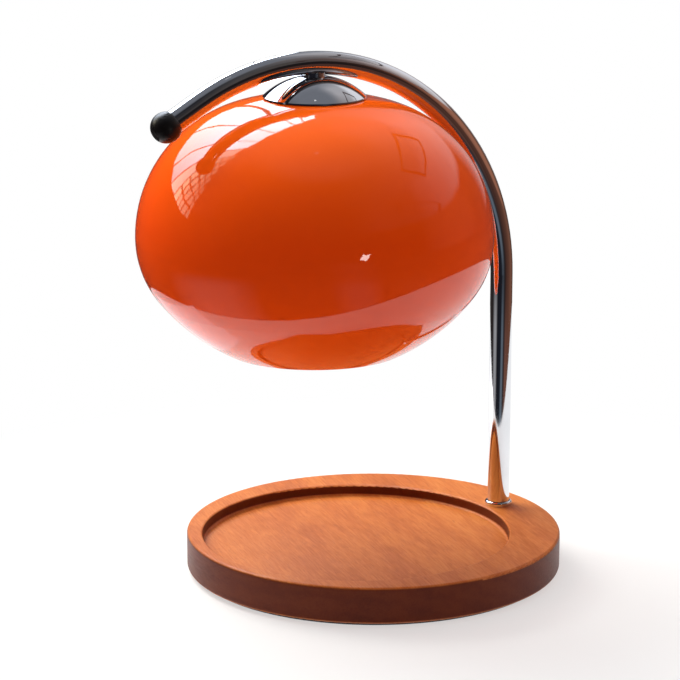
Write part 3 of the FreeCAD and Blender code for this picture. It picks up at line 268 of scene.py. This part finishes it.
def metal(name, colour, gloss, haze, scratch, grain=260.0):
    """A metal: its colour, its roughness where clean and where smudged, and how scratched it is."""
    material, tree, shader = finish(name, Metallic=1.0)
    marks = use(tree, handling, Smudge_Scale=55.0, Scratch_Scale=grain)
    dull = tuple(SMUDGE_SHADE * value for value in colour)
    tint = tree.mix(tree.math("MULTIPLY", marks["Smudge"], SMUDGE_SHARE), (*colour, 1.0), (*dull, 1.0))
    tree.feed(shader.inputs["Base Color"], tint)
    tree.feed(shader.inputs["Roughness"], tree.span(marks["Smudge"], 0.0, 1.0, gloss, haze))
    tree.feed(shader.inputs["Normal"], tree.bump(marks["Scratch"], scratch, 0.00004))
    return material


chrome = metal("polished_chrome", (0.82, 0.83, 0.86), 0.035, 0.075, 0.05)
zinc_steel = metal("zinc_plated_steel", (0.60, 0.61, 0.62), 0.26, 0.38, 0.35, grain=700.0)
brass = metal("brass", (0.78, 0.56, 0.25), 0.20, 0.34, 0.30, grain=600.0)
mirror = metal("aluminised_mirror", (0.88, 0.88, 0.89), 0.05, 0.10, 0.08)
tungsten = metal("tungsten", (0.32, 0.32, 0.34), 0.30, 0.42, 0.30, grain=2500.0)
print("metals made")

# %% [markdown]
# The black cap, the rubber bushing, the gaskets and the foot pad are all dark polymers that differ in gloss
# and grain. White enamel, ceramic, white plastic and wire insulation are pale relatives. One function makes
# them all from the shared skin group: drift shades the colour, and grain gives the roughness and the bump.

# %% Moulded, painted and fired materials
PALEST, GLOSS_SPREAD = 0.95, 0.15


def moulded(name, colour, gloss, grain_scale, grain_depth, drift=0.12, coat=0.0):
    """A moulded or painted finish: colour, roughness, and the scale and depth of its grain."""
    material, tree, shader = finish(name, Coat_Weight=coat, Coat_Roughness=0.06)
    surface = use(tree, skin, Grain_Scale=grain_scale)
    dark = tuple(value * (1.0 - drift) for value in colour)
    light = tuple(min(value * (1.0 + drift), PALEST) for value in colour)
    tree.feed(shader.inputs["Base Color"], tree.ramp(surface["Drift"], [(0.3, dark), (0.7, light)]))
    roughness = tree.span(
        surface["Grain"], 0.2, 0.8, gloss * (1.0 - GLOSS_SPREAD), gloss * (1.0 + GLOSS_SPREAD))
    tree.feed(shader.inputs["Roughness"], roughness)
    tree.feed(shader.inputs["Normal"], tree.bump(surface["Grain"], 0.4, grain_depth))
    return material


black_plastic = moulded("black_plastic", (0.006, 0.006, 0.007), 0.34, 1500.0, 0.00002)
black_rubber = moulded("black_rubber", (0.018, 0.018, 0.018), 0.62, 2200.0, 0.00006)
foot_pad = moulded("foot_pad", (0.030, 0.029, 0.028), 0.85, 1400.0, 0.00020)
gasket = moulded("silicone_gasket", (0.055, 0.054, 0.052), 0.55, 2000.0, 0.00004)
white_metal = moulded("white_enamel", (0.80, 0.80, 0.77), 0.32, 900.0, 0.00002, drift=0.04, coat=0.3)
ceramic = moulded("glazed_ceramic", (0.82, 0.80, 0.74), 0.22, 700.0, 0.00003, drift=0.05, coat=0.5)
white_plastic = moulded("white_plastic", (0.80, 0.80, 0.77), 0.40, 1600.0, 0.00002, drift=0.04)
wire_white = moulded("wire_insulation", (0.78, 0.77, 0.74), 0.45, 1800.0, 0.00002, drift=0.05)
print("moulded finishes made")

# %% [markdown]
# The bulb's front is clear glass pressed with a fine stipple that spreads its heat evenly. Clear glass is
# the plain shader with full transmission. Nodes draw the stipple, which is a fine cell pattern, and a trace
# of tint and haze that varies over the glass.

# %% Bulb glass
STIPPLE_SCALE, STIPPLE_STRENGTH, STIPPLE_DEPTH = 620.0, 0.35, 0.0006
bulb_glass, tree, shader = finish("stippled_bulb_glass", IOR=1.47, Transmission_Weight=1.0)
place = tree.place()
cells = tree.add("ShaderNodeTexVoronoi", {"Vector": place, "Scale": STIPPLE_SCALE}, feature="SMOOTH_F1")
tint = tree.noise(place, 80.0)
tree.feed(shader.inputs["Base Color"], tree.ramp(tint, [
    (0.3, (0.93, 0.95, 0.95)), (0.7, (0.97, 0.98, 0.98))]))
tree.feed(shader.inputs["Roughness"], tree.span(tint, 0.3, 0.7, 0.04, 0.09))
tree.feed(shader.inputs["Normal"], tree.bump(cells.outputs["Distance"], STIPPLE_STRENGTH, STIPPLE_DEPTH))
print("finish:", bulb_glass.name)

# %% [markdown]
# Each solid part names the finish that it was designed with. The list of parts and that name come with the
# lamp, so one loop puts the materials on, and a part added later would be dressed without new code.

# %% Put the finishes on the parts
FINISHES = {
    "wood": wood, "pad": foot_pad, "black_rubber": black_rubber, "chrome": chrome, "zinc_steel": zinc_steel,
    "black_plastic": black_plastic, "orange_glass": glass, "gasket": gasket, "white_metal": white_metal,
    "ceramic": ceramic, "brass": brass, "bulb_glass": bulb_glass, "reflector": mirror, "tungsten": tungsten,
    "white_plastic": white_plastic, "wire_white": wire_white,
}
for part in frame["record"]["subparts"]:
    solid = frame["nodes"][part["node"]]
    solid.data.materials.clear()
    solid.data.materials.append(FINISHES[part["material_slot"]])

# %% [markdown]
# The camera is a long portrait lens about a metre and a half away, a little above the lamp, looking across
# the arm. A long lens keeps the round forms round.

# %% Camera
VIEW_FROM = Vector((-0.7628, -1.2351, 0.4922))
VIEW_ALONG = Vector((0.4992, 0.8310, -0.2455)).normalized()
LENS_MM, SENSOR_MM, NEAREST = 150.0, 36.0, 0.05
camera = bpy.data.objects.new("camera", bpy.data.cameras.new("camera"))
camera.data.lens = LENS_MM
camera.data.sensor_width = SENSOR_MM
camera.data.clip_start = NEAREST
camera.location = VIEW_FROM
camera.rotation_mode = "QUATERNION"
camera.rotation_quaternion = VIEW_ALONG.to_track_quat("-Z", "Y")
bpy.context.scene.collection.objects.link(camera)
bpy.context.scene.camera = camera
bpy.context.scene.view_settings.view_transform = "Standard"
print("camera at", [round(v, 3) for v in VIEW_FROM])

# %% [markdown]
# The studio is a pale floor that fades to white, one tall window behind the lamp to the left, and a soft
# fill. Light for matt surfaces and pictures for mirrors are kept apart here: lamps light the object, and
# shining cards that only mirrors see give glass and chrome a room to show.
#
# The floor comes first. The light that it throws back onto matt surfaces is pale within a round tabletop and
# brown beyond it. The floor is clear when it is looked at from below, and for rays that start within a few
# millimetres of it, so the underside of the lamp can be seen and is lit.

# %% Floor
TO_CAMERA = Vector((-VIEW_ALONG.x, -VIEW_ALONG.y, 0.0)).normalized()
TO_RIGHT = Vector((-TO_CAMERA.y, TO_CAMERA.x, 0.0))
TABLE_MIDDLE = TO_RIGHT * 0.10 - TO_CAMERA * 0.20
TABLE_RADIUS, TABLE_EDGE = 0.40, 0.03
FADE_FROM, FADE_TO, LEAST_FADE = 0.12, 0.34, 0.55
PALE_FLOOR, BROWN_FLOOR = (0.84, 0.84, 0.84, 1.0), (0.42, 0.35, 0.31, 1.0)
FLOOR_REACH, FLOOR_DROP, STANDING_CLOSE = 6.0, 0.0005, 0.003
SQUARE_CORNERS = ((-1, -1), (1, -1), (1, 1), (-1, 1))


def stage_piece(name, corners, faces, material):
    """A mesh of the studio, which isn't part of the lamp."""
    mesh = bpy.data.meshes.new(name)
    mesh.from_pydata([tuple(corner) for corner in corners], [], faces)
    mesh.materials.append(material)
    made = bpy.data.objects.new(name, mesh)
    bpy.context.scene.collection.objects.link(made)
    return made


def bare_material(name):
    """A material with nothing but its output, for the studio's own surfaces."""
    material = bpy.data.materials.new(name)
    material.use_nodes = True
    material.node_tree.nodes.clear()
    tree = Tree(material.node_tree)
    return material, tree, tree.add("ShaderNodeOutputMaterial")


def seen_ray(tree, path):
    """1 for rays from the camera, off a mirror or through glass, and 0 for matt light and shadows."""
    seen = tree.math("MAXIMUM", path.outputs["Is Camera Ray"], path.outputs["Is Glossy Ray"])
    return tree.math("MAXIMUM", seen, path.outputs["Is Transmission Ray"])


floor_paint, tree, output = bare_material("floor_paint")
distance = tree.vector_math("LENGTH", tree.place())["Value"]
fade = tree.span(distance, FADE_FROM, FADE_TO, LEAST_FADE, 1.0, smooth=True)
path = tree.add("ShaderNodeLightPath")
seen = seen_ray(tree, path)
from_table = tree.vector_math("ADD", tree.place(), tuple(-TABLE_MIDDLE))[0]
from_table = tree.vector_math("LENGTH", from_table)["Value"]
on_table = tree.span(from_table, TABLE_RADIUS, TABLE_RADIUS + TABLE_EDGE, 1.0, 0.0)
matt = tree.add("ShaderNodeBsdfDiffuse", {
    "Color": tree.mix(tree.math("MAXIMUM", seen, on_table), BROWN_FLOOR, PALE_FLOOR)})
white = tree.add("ShaderNodeEmission", {"Color": (1.0, 1.0, 1.0, 1.0), "Strength": 1.0})
solid_floor = tree.add("ShaderNodeMixShader", {
    0: tree.math("MULTIPLY", fade, seen), 1: matt.outputs[0], 2: white.outputs[0]})
just_above = tree.math("LESS_THAN", path.outputs["Ray Length"], STANDING_CLOSE)
clear = tree.math("MAXIMUM", tree.add("ShaderNodeNewGeometry").outputs["Backfacing"], just_above)
tree.feed(output.inputs["Surface"], tree.add("ShaderNodeMixShader", {
    0: clear, 1: solid_floor.outputs[0], 2: tree.add("ShaderNodeBsdfTransparent").outputs[0]}).outputs[0])
stage_piece("floor", [(x * FLOOR_REACH, y * FLOOR_REACH, -FLOOR_DROP) for x, y in SQUARE_CORNERS],
            [(0, 1, 2, 3)], floor_paint)
print("floor reaches", FLOOR_REACH, "m")

# %% [markdown]
# The window has five tall sashes with thin bars between them. They show roofs low down and bright sky above,
# so their glow grows with height. At the left end stand a warmer sash of nearly even glow and a screen of
# small warm panes that grows dimmer outwards and upwards. One big bright card would be simpler, but chrome
# and glass would show it as a plain patch and not as a window.

# %% Window
HEAD_PLACE = Vector((-0.036, 0.0, 0.0))
WINDOW_TURN = math.radians(100)
WINDOW_OUT = Vector((math.cos(WINDOW_TURN), math.sin(WINDOW_TURN), 0.0))
WINDOW_LEFT = Vector((-WINDOW_OUT.y, WINDOW_OUT.x, 0.0))
WINDOW_FOOT = HEAD_PLACE + WINDOW_OUT
ROOFS_AT, SKY_FROM = 0.5, 1.3
WINDOW_GLOW, SIDE_GLOW, SCREEN_GLOW = (2.8, 9.6), (4.6, 3.8), 5.0
SKY_COLOUR, SIDE_COLOUR, SCREEN_COLOUR = (0.85, 0.93, 1.05), (1.0, 0.95, 0.82), (1.0, 0.90, 0.62)
SCREEN_LEFT, SCREEN_LOW, SCREEN_COLUMNS, SCREEN_ROWS = 0.54, 0.54, 5, 8
SCREEN_STEP, SCREEN_RISE, SCREEN_BAR = 0.125, 0.16, 0.03
FADE_OUTWARDS, FADE_UPWARDS = 0.80, 0.88


def mirror_card(name, corners, faces, material):
    """A studio piece that only reflections see."""
    made = stage_piece(name, corners, faces, material)
    made.visible_camera = made.visible_diffuse = made.visible_shadow = False
    made.visible_transmission = made.visible_volume_scatter = False


def window_pane(name, outline, strength, colour=SKY_COLOUR):
    """A shining pane. Its outline is given in metres along the wall, to the left, and above the floor.

    The strength is one number, or a pair: the glow low down and the glow at the height of the sky.
    """
    material, tree, output = bare_material(name)
    if isinstance(strength, tuple):
        above = tree.add("ShaderNodeSeparateXYZ", {0: tree.place()}).outputs["Z"]
        strength = tree.span(above, ROOFS_AT, SKY_FROM, *strength)
    glow = tree.add("ShaderNodeEmission", {"Color": (*colour, 1.0), "Strength": strength})
    tree.feed(output.inputs["Surface"], glow.outputs[0])
    corners = [WINDOW_FOOT + WINDOW_LEFT * left + Vector((0.0, 0.0, up)) for left, up in outline]
    mirror_card(name, corners, [tuple(range(len(corners)))], material)


SASHES = {
    "left_sash": [(0.34, 0.55), (0.12, 0.55), (0.12, 2.06), (0.34, 1.98)],
    "wide_sash": [(0.10, 0.55), (-0.24, 0.56), (-0.24, 2.05), (0.10, 2.07)],
    "near_sash": [(-0.26, 0.56), (-0.595, 0.54), (-0.595, 1.84), (-0.38, 1.98), (-0.26, 2.03)],
    "middle_sash": [(-0.615, 0.54), (-0.73, 0.52), (-0.73, 1.68), (-0.615, 1.80)],
    "end_sash": [(-0.75, 0.52), (-0.85, 0.51), (-0.85, 1.54), (-0.75, 1.66)],
}
for name, outline in SASHES.items():
    window_pane(name, outline, WINDOW_GLOW)
window_pane("side_sash", [(0.36, 0.55), (0.52, 0.55), (0.52, 1.72), (0.36, 1.90)], SIDE_GLOW, SIDE_COLOUR)
for column in range(SCREEN_COLUMNS):
    for row in range(SCREEN_ROWS - column):
        left, low = SCREEN_LEFT + SCREEN_STEP * column, SCREEN_LOW + SCREEN_RISE * row
        right, high = left + SCREEN_STEP - SCREEN_BAR, low + SCREEN_RISE - SCREEN_BAR
        window_pane(f"lattice_{column}_{row}", [(left, low), (right, low), (right, high), (left, high)],
                    SCREEN_GLOW * FADE_OUTWARDS ** column * FADE_UPWARDS ** row, SCREEN_COLOUR)
print("window stands at", [round(v, 2) for v in WINDOW_FOOT])

# %% [markdown]
# Two soft rectangular lamps light the matt surfaces together with the world's fill: a strong one in about the
# window's place and a weaker one overhead. They are kept out of the mirrors, where the panes stand for them,
# so the light on matt surfaces and the picture in the chrome can be set one without the other.

# %% Soft lights
def soft_light(name, place, aim, width, height, watts, colour=(1.0, 1.0, 1.0)):
    """A rectangular lamp that lights matt surfaces and keeps out of the mirrors."""
    lamp = bpy.data.lights.new(name, "AREA")
    lamp.shape, lamp.size, lamp.size_y, lamp.energy = "RECTANGLE", width, height, watts
    lamp.color = colour
    made = bpy.data.objects.new(name, lamp)
    made.location = place
    made.rotation_mode = "QUATERNION"
    made.rotation_quaternion = (Vector(aim) - Vector(place)).to_track_quat("-Z", "Y")
    made.visible_glossy = made.visible_camera = False
    bpy.context.scene.collection.objects.link(made)


WINDOW_LIGHT_PLACE, WINDOW_LIGHT_AIM = (-0.24, 0.90, 0.95), HEAD_PLACE + Vector((0.0, 0.0, 0.12))
WINDOW_LIGHT_SIZE, WINDOW_LIGHT_WATTS, WINDOW_LIGHT_COLOUR = (0.9, 0.8), 23.5, (0.95, 1.0, 0.95)
OVERHEAD_PLACE, OVERHEAD_AIM = (-0.20, 0.35, 1.50), HEAD_PLACE + Vector((0.0, 0.0, 0.15))
OVERHEAD_SIZE, OVERHEAD_WATTS = (0.9, 0.9), 7.5
soft_light("window_light", WINDOW_LIGHT_PLACE, WINDOW_LIGHT_AIM, *WINDOW_LIGHT_SIZE, WINDOW_LIGHT_WATTS,
           WINDOW_LIGHT_COLOUR)
soft_light("overhead_light", OVERHEAD_PLACE, OVERHEAD_AIM, *OVERHEAD_SIZE, OVERHEAD_WATTS)
print("soft lights:", WINDOW_LIGHT_WATTS, "W and", OVERHEAD_WATTS, "W")

# %% [markdown]
# Around the table the room is dim and brown, darkest where the camera stands, with a pale upper wall at the
# far right and a grey ceiling. A tent that only mirrors see gives that room, and a node tree paints it. Its
# colour follows the compass direction. It changes with the height from floor to walls, upper walls and
# ceiling, and on the floor with the distance too. Modelled furniture would take longer to build and to
# adjust, and curved mirrors show little more of it than bands of colour.

# %% Colours of the room
room_paint, tree, output = bare_material("room_paint")
toward = tree.add("ShaderNodeSeparateXYZ", {0: tree.place()})
compass = tree.span(tree.math("ARCTAN2", toward.outputs["Y"], toward.outputs["X"]), -math.pi, math.pi)


def by_compass(stops):
    """Colours by direction, in degrees from +X towards +Y."""
    return tree.ramp(compass, [((degrees + 180.0) / 360.0, colour) for degrees, colour in stops])


near_floor = by_compass([
    (-176, (0.340, 0.335, 0.345)), (-156, (0.010, 0.010, 0.014)),
    (-116, (0.012, 0.015, 0.022)), (-104, (0.120, 0.150, 0.185)), (-94, (0.120, 0.145, 0.175)),
    (-84, (0.030, 0.024, 0.026)), (-76, (0.060, 0.034, 0.030)), (-66, (0.175, 0.074, 0.052)),
    (-30, (0.160, 0.064, 0.040)), (10, (0.140, 0.075, 0.055)), (60, (0.050, 0.040, 0.036)),
    (140, (0.020, 0.016, 0.016)), (166, (0.340, 0.335, 0.345)),
])
dark_floor = by_compass([
    (-116, (0.010, 0.010, 0.014)), (-98, (0.045, 0.052, 0.064)), (-80, (0.020, 0.014, 0.014)),
    (-62, (0.070, 0.030, 0.022)), (-38, (0.110, 0.046, 0.030)), (-10, (0.190, 0.080, 0.050)),
    (20, (0.110, 0.060, 0.045)), (60, (0.040, 0.034, 0.034)), (150, (0.016, 0.014, 0.014)),
])
walls = by_compass([
    (-120, (0.008, 0.008, 0.010)), (-58, (0.014, 0.010, 0.010)), (-50, (0.045, 0.018, 0.012)),
    (-38, (0.260, 0.105, 0.065)), (-22, (0.350, 0.145, 0.086)), (-6, (0.310, 0.130, 0.080)),
    (8, (0.150, 0.070, 0.046)), (24, (0.110, 0.070, 0.055)), (38, (0.560, 0.520, 0.530)),
    (48, (0.480, 0.400, 0.410)), (58, (0.050, 0.045, 0.055)), (74, (0.025, 0.022, 0.030)),
    (150, (0.030, 0.020, 0.018)),
])
upper_walls = by_compass([
    (-96, (0.014, 0.012, 0.014)), (-76, (0.070, 0.062, 0.060)), (-60, (0.070, 0.060, 0.056)),
    (-45, (0.140, 0.095, 0.085)), (-30, (0.380, 0.310, 0.300)),
    (-16, (0.540, 0.480, 0.470)), (2, (0.700, 0.660, 0.670)), (20, (0.780, 0.780, 0.820)),
    (36, (0.780, 0.780, 0.820)), (50, (0.360, 0.380, 0.420)), (64, (0.120, 0.130, 0.150)),
    (150, (0.060, 0.060, 0.070)), (172, (0.014, 0.014, 0.016)),
])
ceiling = by_compass([
    (-100, (0.020, 0.020, 0.024)), (-70, (0.070, 0.068, 0.070)), (-40, (0.160, 0.140, 0.140)),
    (-8, (0.300, 0.280, 0.285)), (17, (0.440, 0.425, 0.440)), (36, (0.420, 0.415, 0.435)),
    (56, (0.220, 0.230, 0.260)), (110, (0.220, 0.230, 0.260)), (160, (0.040, 0.040, 0.046)),
])
CEILING_MIDDLE = (0.17, 0.18, 0.205, 1.0)
NEAR_UNTIL, FAR_FROM = 0.38, 0.66
FLOOR_TO_WALLS, WALLS_TO_UPPER = (0.01, 0.03), (0.355, 0.40)
UPPER_TO_CEILING, CEILING_TO_MIDDLE = (0.62, 0.74), (0.86, 0.97)
direction = tree.vector_math("NORMALIZE", tree.place())[0]
height = tree.add("ShaderNodeSeparateXYZ", {0: direction}).outputs["Z"]
distance = tree.vector_math("LENGTH", tree.place())["Value"]
colour = tree.mix(tree.span(distance, NEAR_UNTIL, FAR_FROM, smooth=True), near_floor, dark_floor)
colour = tree.mix(tree.span(height, *FLOOR_TO_WALLS), colour, walls)
colour = tree.mix(tree.span(height, *WALLS_TO_UPPER), colour, upper_walls)
colour = tree.mix(tree.span(height, *UPPER_TO_CEILING, smooth=True), colour, ceiling)
colour = tree.mix(tree.span(height, *CEILING_TO_MIDDLE, smooth=True), colour, CEILING_MIDDLE)
room_glow = tree.add("ShaderNodeEmission", {"Color": colour, "Strength": 1.0})
tree.feed(output.inputs["Surface"], room_glow.outputs[0])
print("room paint:", len(room_paint.node_tree.nodes), "nodes")

# %% [markdown]
# The tent's shape is a ring of segments round the lamp. Each has three faces: a skirt from the tabletop's
# edge out to the wall, just above the floor, then the upright wall, then a low roof that narrows to a small
# hole. A sphere would do for the walls, but the skirt leaves the tabletop round and free.

# %% Shape of the tent
TENT_SEGMENTS, TENT_RINGS = 48, 4
TENT_REACH, TENT_TOP = 2.4, 2.2
SKIRT_LIFT, WALL_LIFT, ROOF_RISE, ROOF_HOLE = 0.001, 0.02, 0.4, 0.02
tent_corners, tent_faces = [], []
for segment in range(TENT_SEGMENTS):
    turn = 2.0 * math.pi * segment / TENT_SEGMENTS
    outwards = TO_RIGHT * math.cos(turn) + TO_CAMERA * math.sin(turn)
    edge = TABLE_MIDDLE + outwards * TABLE_RADIUS
    wall = outwards * TENT_REACH
    tent_corners += [
        edge + Vector((0.0, 0.0, SKIRT_LIFT)), wall + Vector((0.0, 0.0, WALL_LIFT)),
        wall + Vector((0.0, 0.0, TENT_TOP)), wall * ROOF_HOLE + Vector((0.0, 0.0, TENT_TOP + ROOF_RISE))]
    following = TENT_RINGS * ((segment + 1) % TENT_SEGMENTS)
    for ring in range(TENT_RINGS - 1):
        first = TENT_RINGS * segment + ring
        tent_faces.append((first, following + ring, following + ring + 1, first + 1))
mirror_card("room_tent", tent_corners, tent_faces, room_paint)
print("tent faces:", len(tent_faces))

# %% [markdown]
# Small things make the mirrored room look lived in: a patch of sun on the table beside the base, two thin
# dark frames high up on the right, and a small bright spark on the dark side of the room.

# %% Sun patch, frames and spark
def plain_card(name, corners, faces, colour, strength):
    """A mirror card of one even glow."""
    material, tree, output = bare_material(name + "_paint")
    glow = tree.add("ShaderNodeEmission", {"Color": (*colour, 1.0), "Strength": strength})
    tree.feed(output.inputs["Surface"], glow.outputs[0])
    mirror_card(name, corners, faces, material)


PATCH_OUTLINE = ((-0.255, -0.300), (-0.125, -0.300), (-0.125, 0.010), (-0.255, 0.010))
PATCH_UP, PATCH_GLOW, PATCH_COLOUR = 0.002, 1.6, (1.0, 0.94, 0.96)
plain_card("sun_patch", [
    TO_RIGHT * right + TO_CAMERA * near + Vector((0.0, 0.0, PATCH_UP)) for right, near in PATCH_OUTLINE],
    [(0, 1, 2, 3)], PATCH_COLOUR, PATCH_GLOW)
FRAMES = {
    "picture_frame": [(1.14, 0.54, 1.62), (1.42, 0.54, 1.34), (1.47, -0.49, 1.34), (1.08, -0.63, 1.67)],
    "shelf_frame": [(0.84, -1.38, 1.29), (1.63, -0.76, 0.88), (1.62, -0.90, 0.75), (0.83, -1.53, 1.09)],
}
FRAME_INSET, FRAME_COLOUR = 0.14, (0.05, 0.03, 0.03)
for name, outer in FRAMES.items():
    outer = [Vector(corner) for corner in outer]
    middle = sum(outer, Vector()) / len(outer)
    inner = [corner + (middle - corner) * FRAME_INSET for corner in outer]
    strips = [(k, (k + 1) % 4, 4 + (k + 1) % 4, 4 + k) for k in range(4)]
    plain_card(name, outer + inner, strips, FRAME_COLOUR, 1.0)
SPARK_PLACE, SPARK_GLOW, SPARK_COLOUR = Vector((-0.045, -1.09, 0.195)), 9.0, (1.0, 0.95, 0.90)
SPARK_OUTLINE = ((-0.055, -0.030), (0.010, -0.055), (0.055, 0.045), (0.000, 0.025), (-0.020, 0.050))
plain_card("spark", [SPARK_PLACE + Vector((along, 0.0, up)) for along, up in SPARK_OUTLINE],
           [(0, 1, 2, 3, 4)], SPARK_COLOUR, SPARK_GLOW)
print("spark at", [round(v, 2) for v in SPARK_PLACE])

# %% [markdown]
# The world behind it all is white where the camera, a mirror or clear glass looks past the lamp, and a soft
# fill for matt surfaces that is weaker from the front and left, so that the round forms keep their shading.

# %% World
world = bpy.data.worlds.new("backdrop")
bpy.context.scene.world = world
world.use_nodes = True
world.node_tree.nodes.clear()
tree = Tree(world.node_tree)
look = tree.add("ShaderNodeTexCoord").outputs["Generated"]
LEFT_SHARE = 0.45
DIM_SIDE = (TO_CAMERA - TO_RIGHT * LEFT_SHARE).normalized()
dimness = tree.vector_math("DOT_PRODUCT", look, tuple(DIM_SIDE))["Value"]
fill = tree.ramp(tree.span(dimness, -1.0, 1.0), [
    (0.1, (0.78, 0.66, 0.64)), (0.5, (0.58, 0.47, 0.45)), (0.9, (0.40, 0.30, 0.28))])
past = seen_ray(tree, tree.add("ShaderNodeLightPath"))
background = tree.add("ShaderNodeBackground", {
    "Color": tree.mix(past, fill, (1.0, 1.0, 1.0, 1.0)), "Strength": 1.0})
tree.feed(tree.add("ShaderNodeOutputWorld").inputs["Surface"], background.outputs[0])
print("world:", world.name)
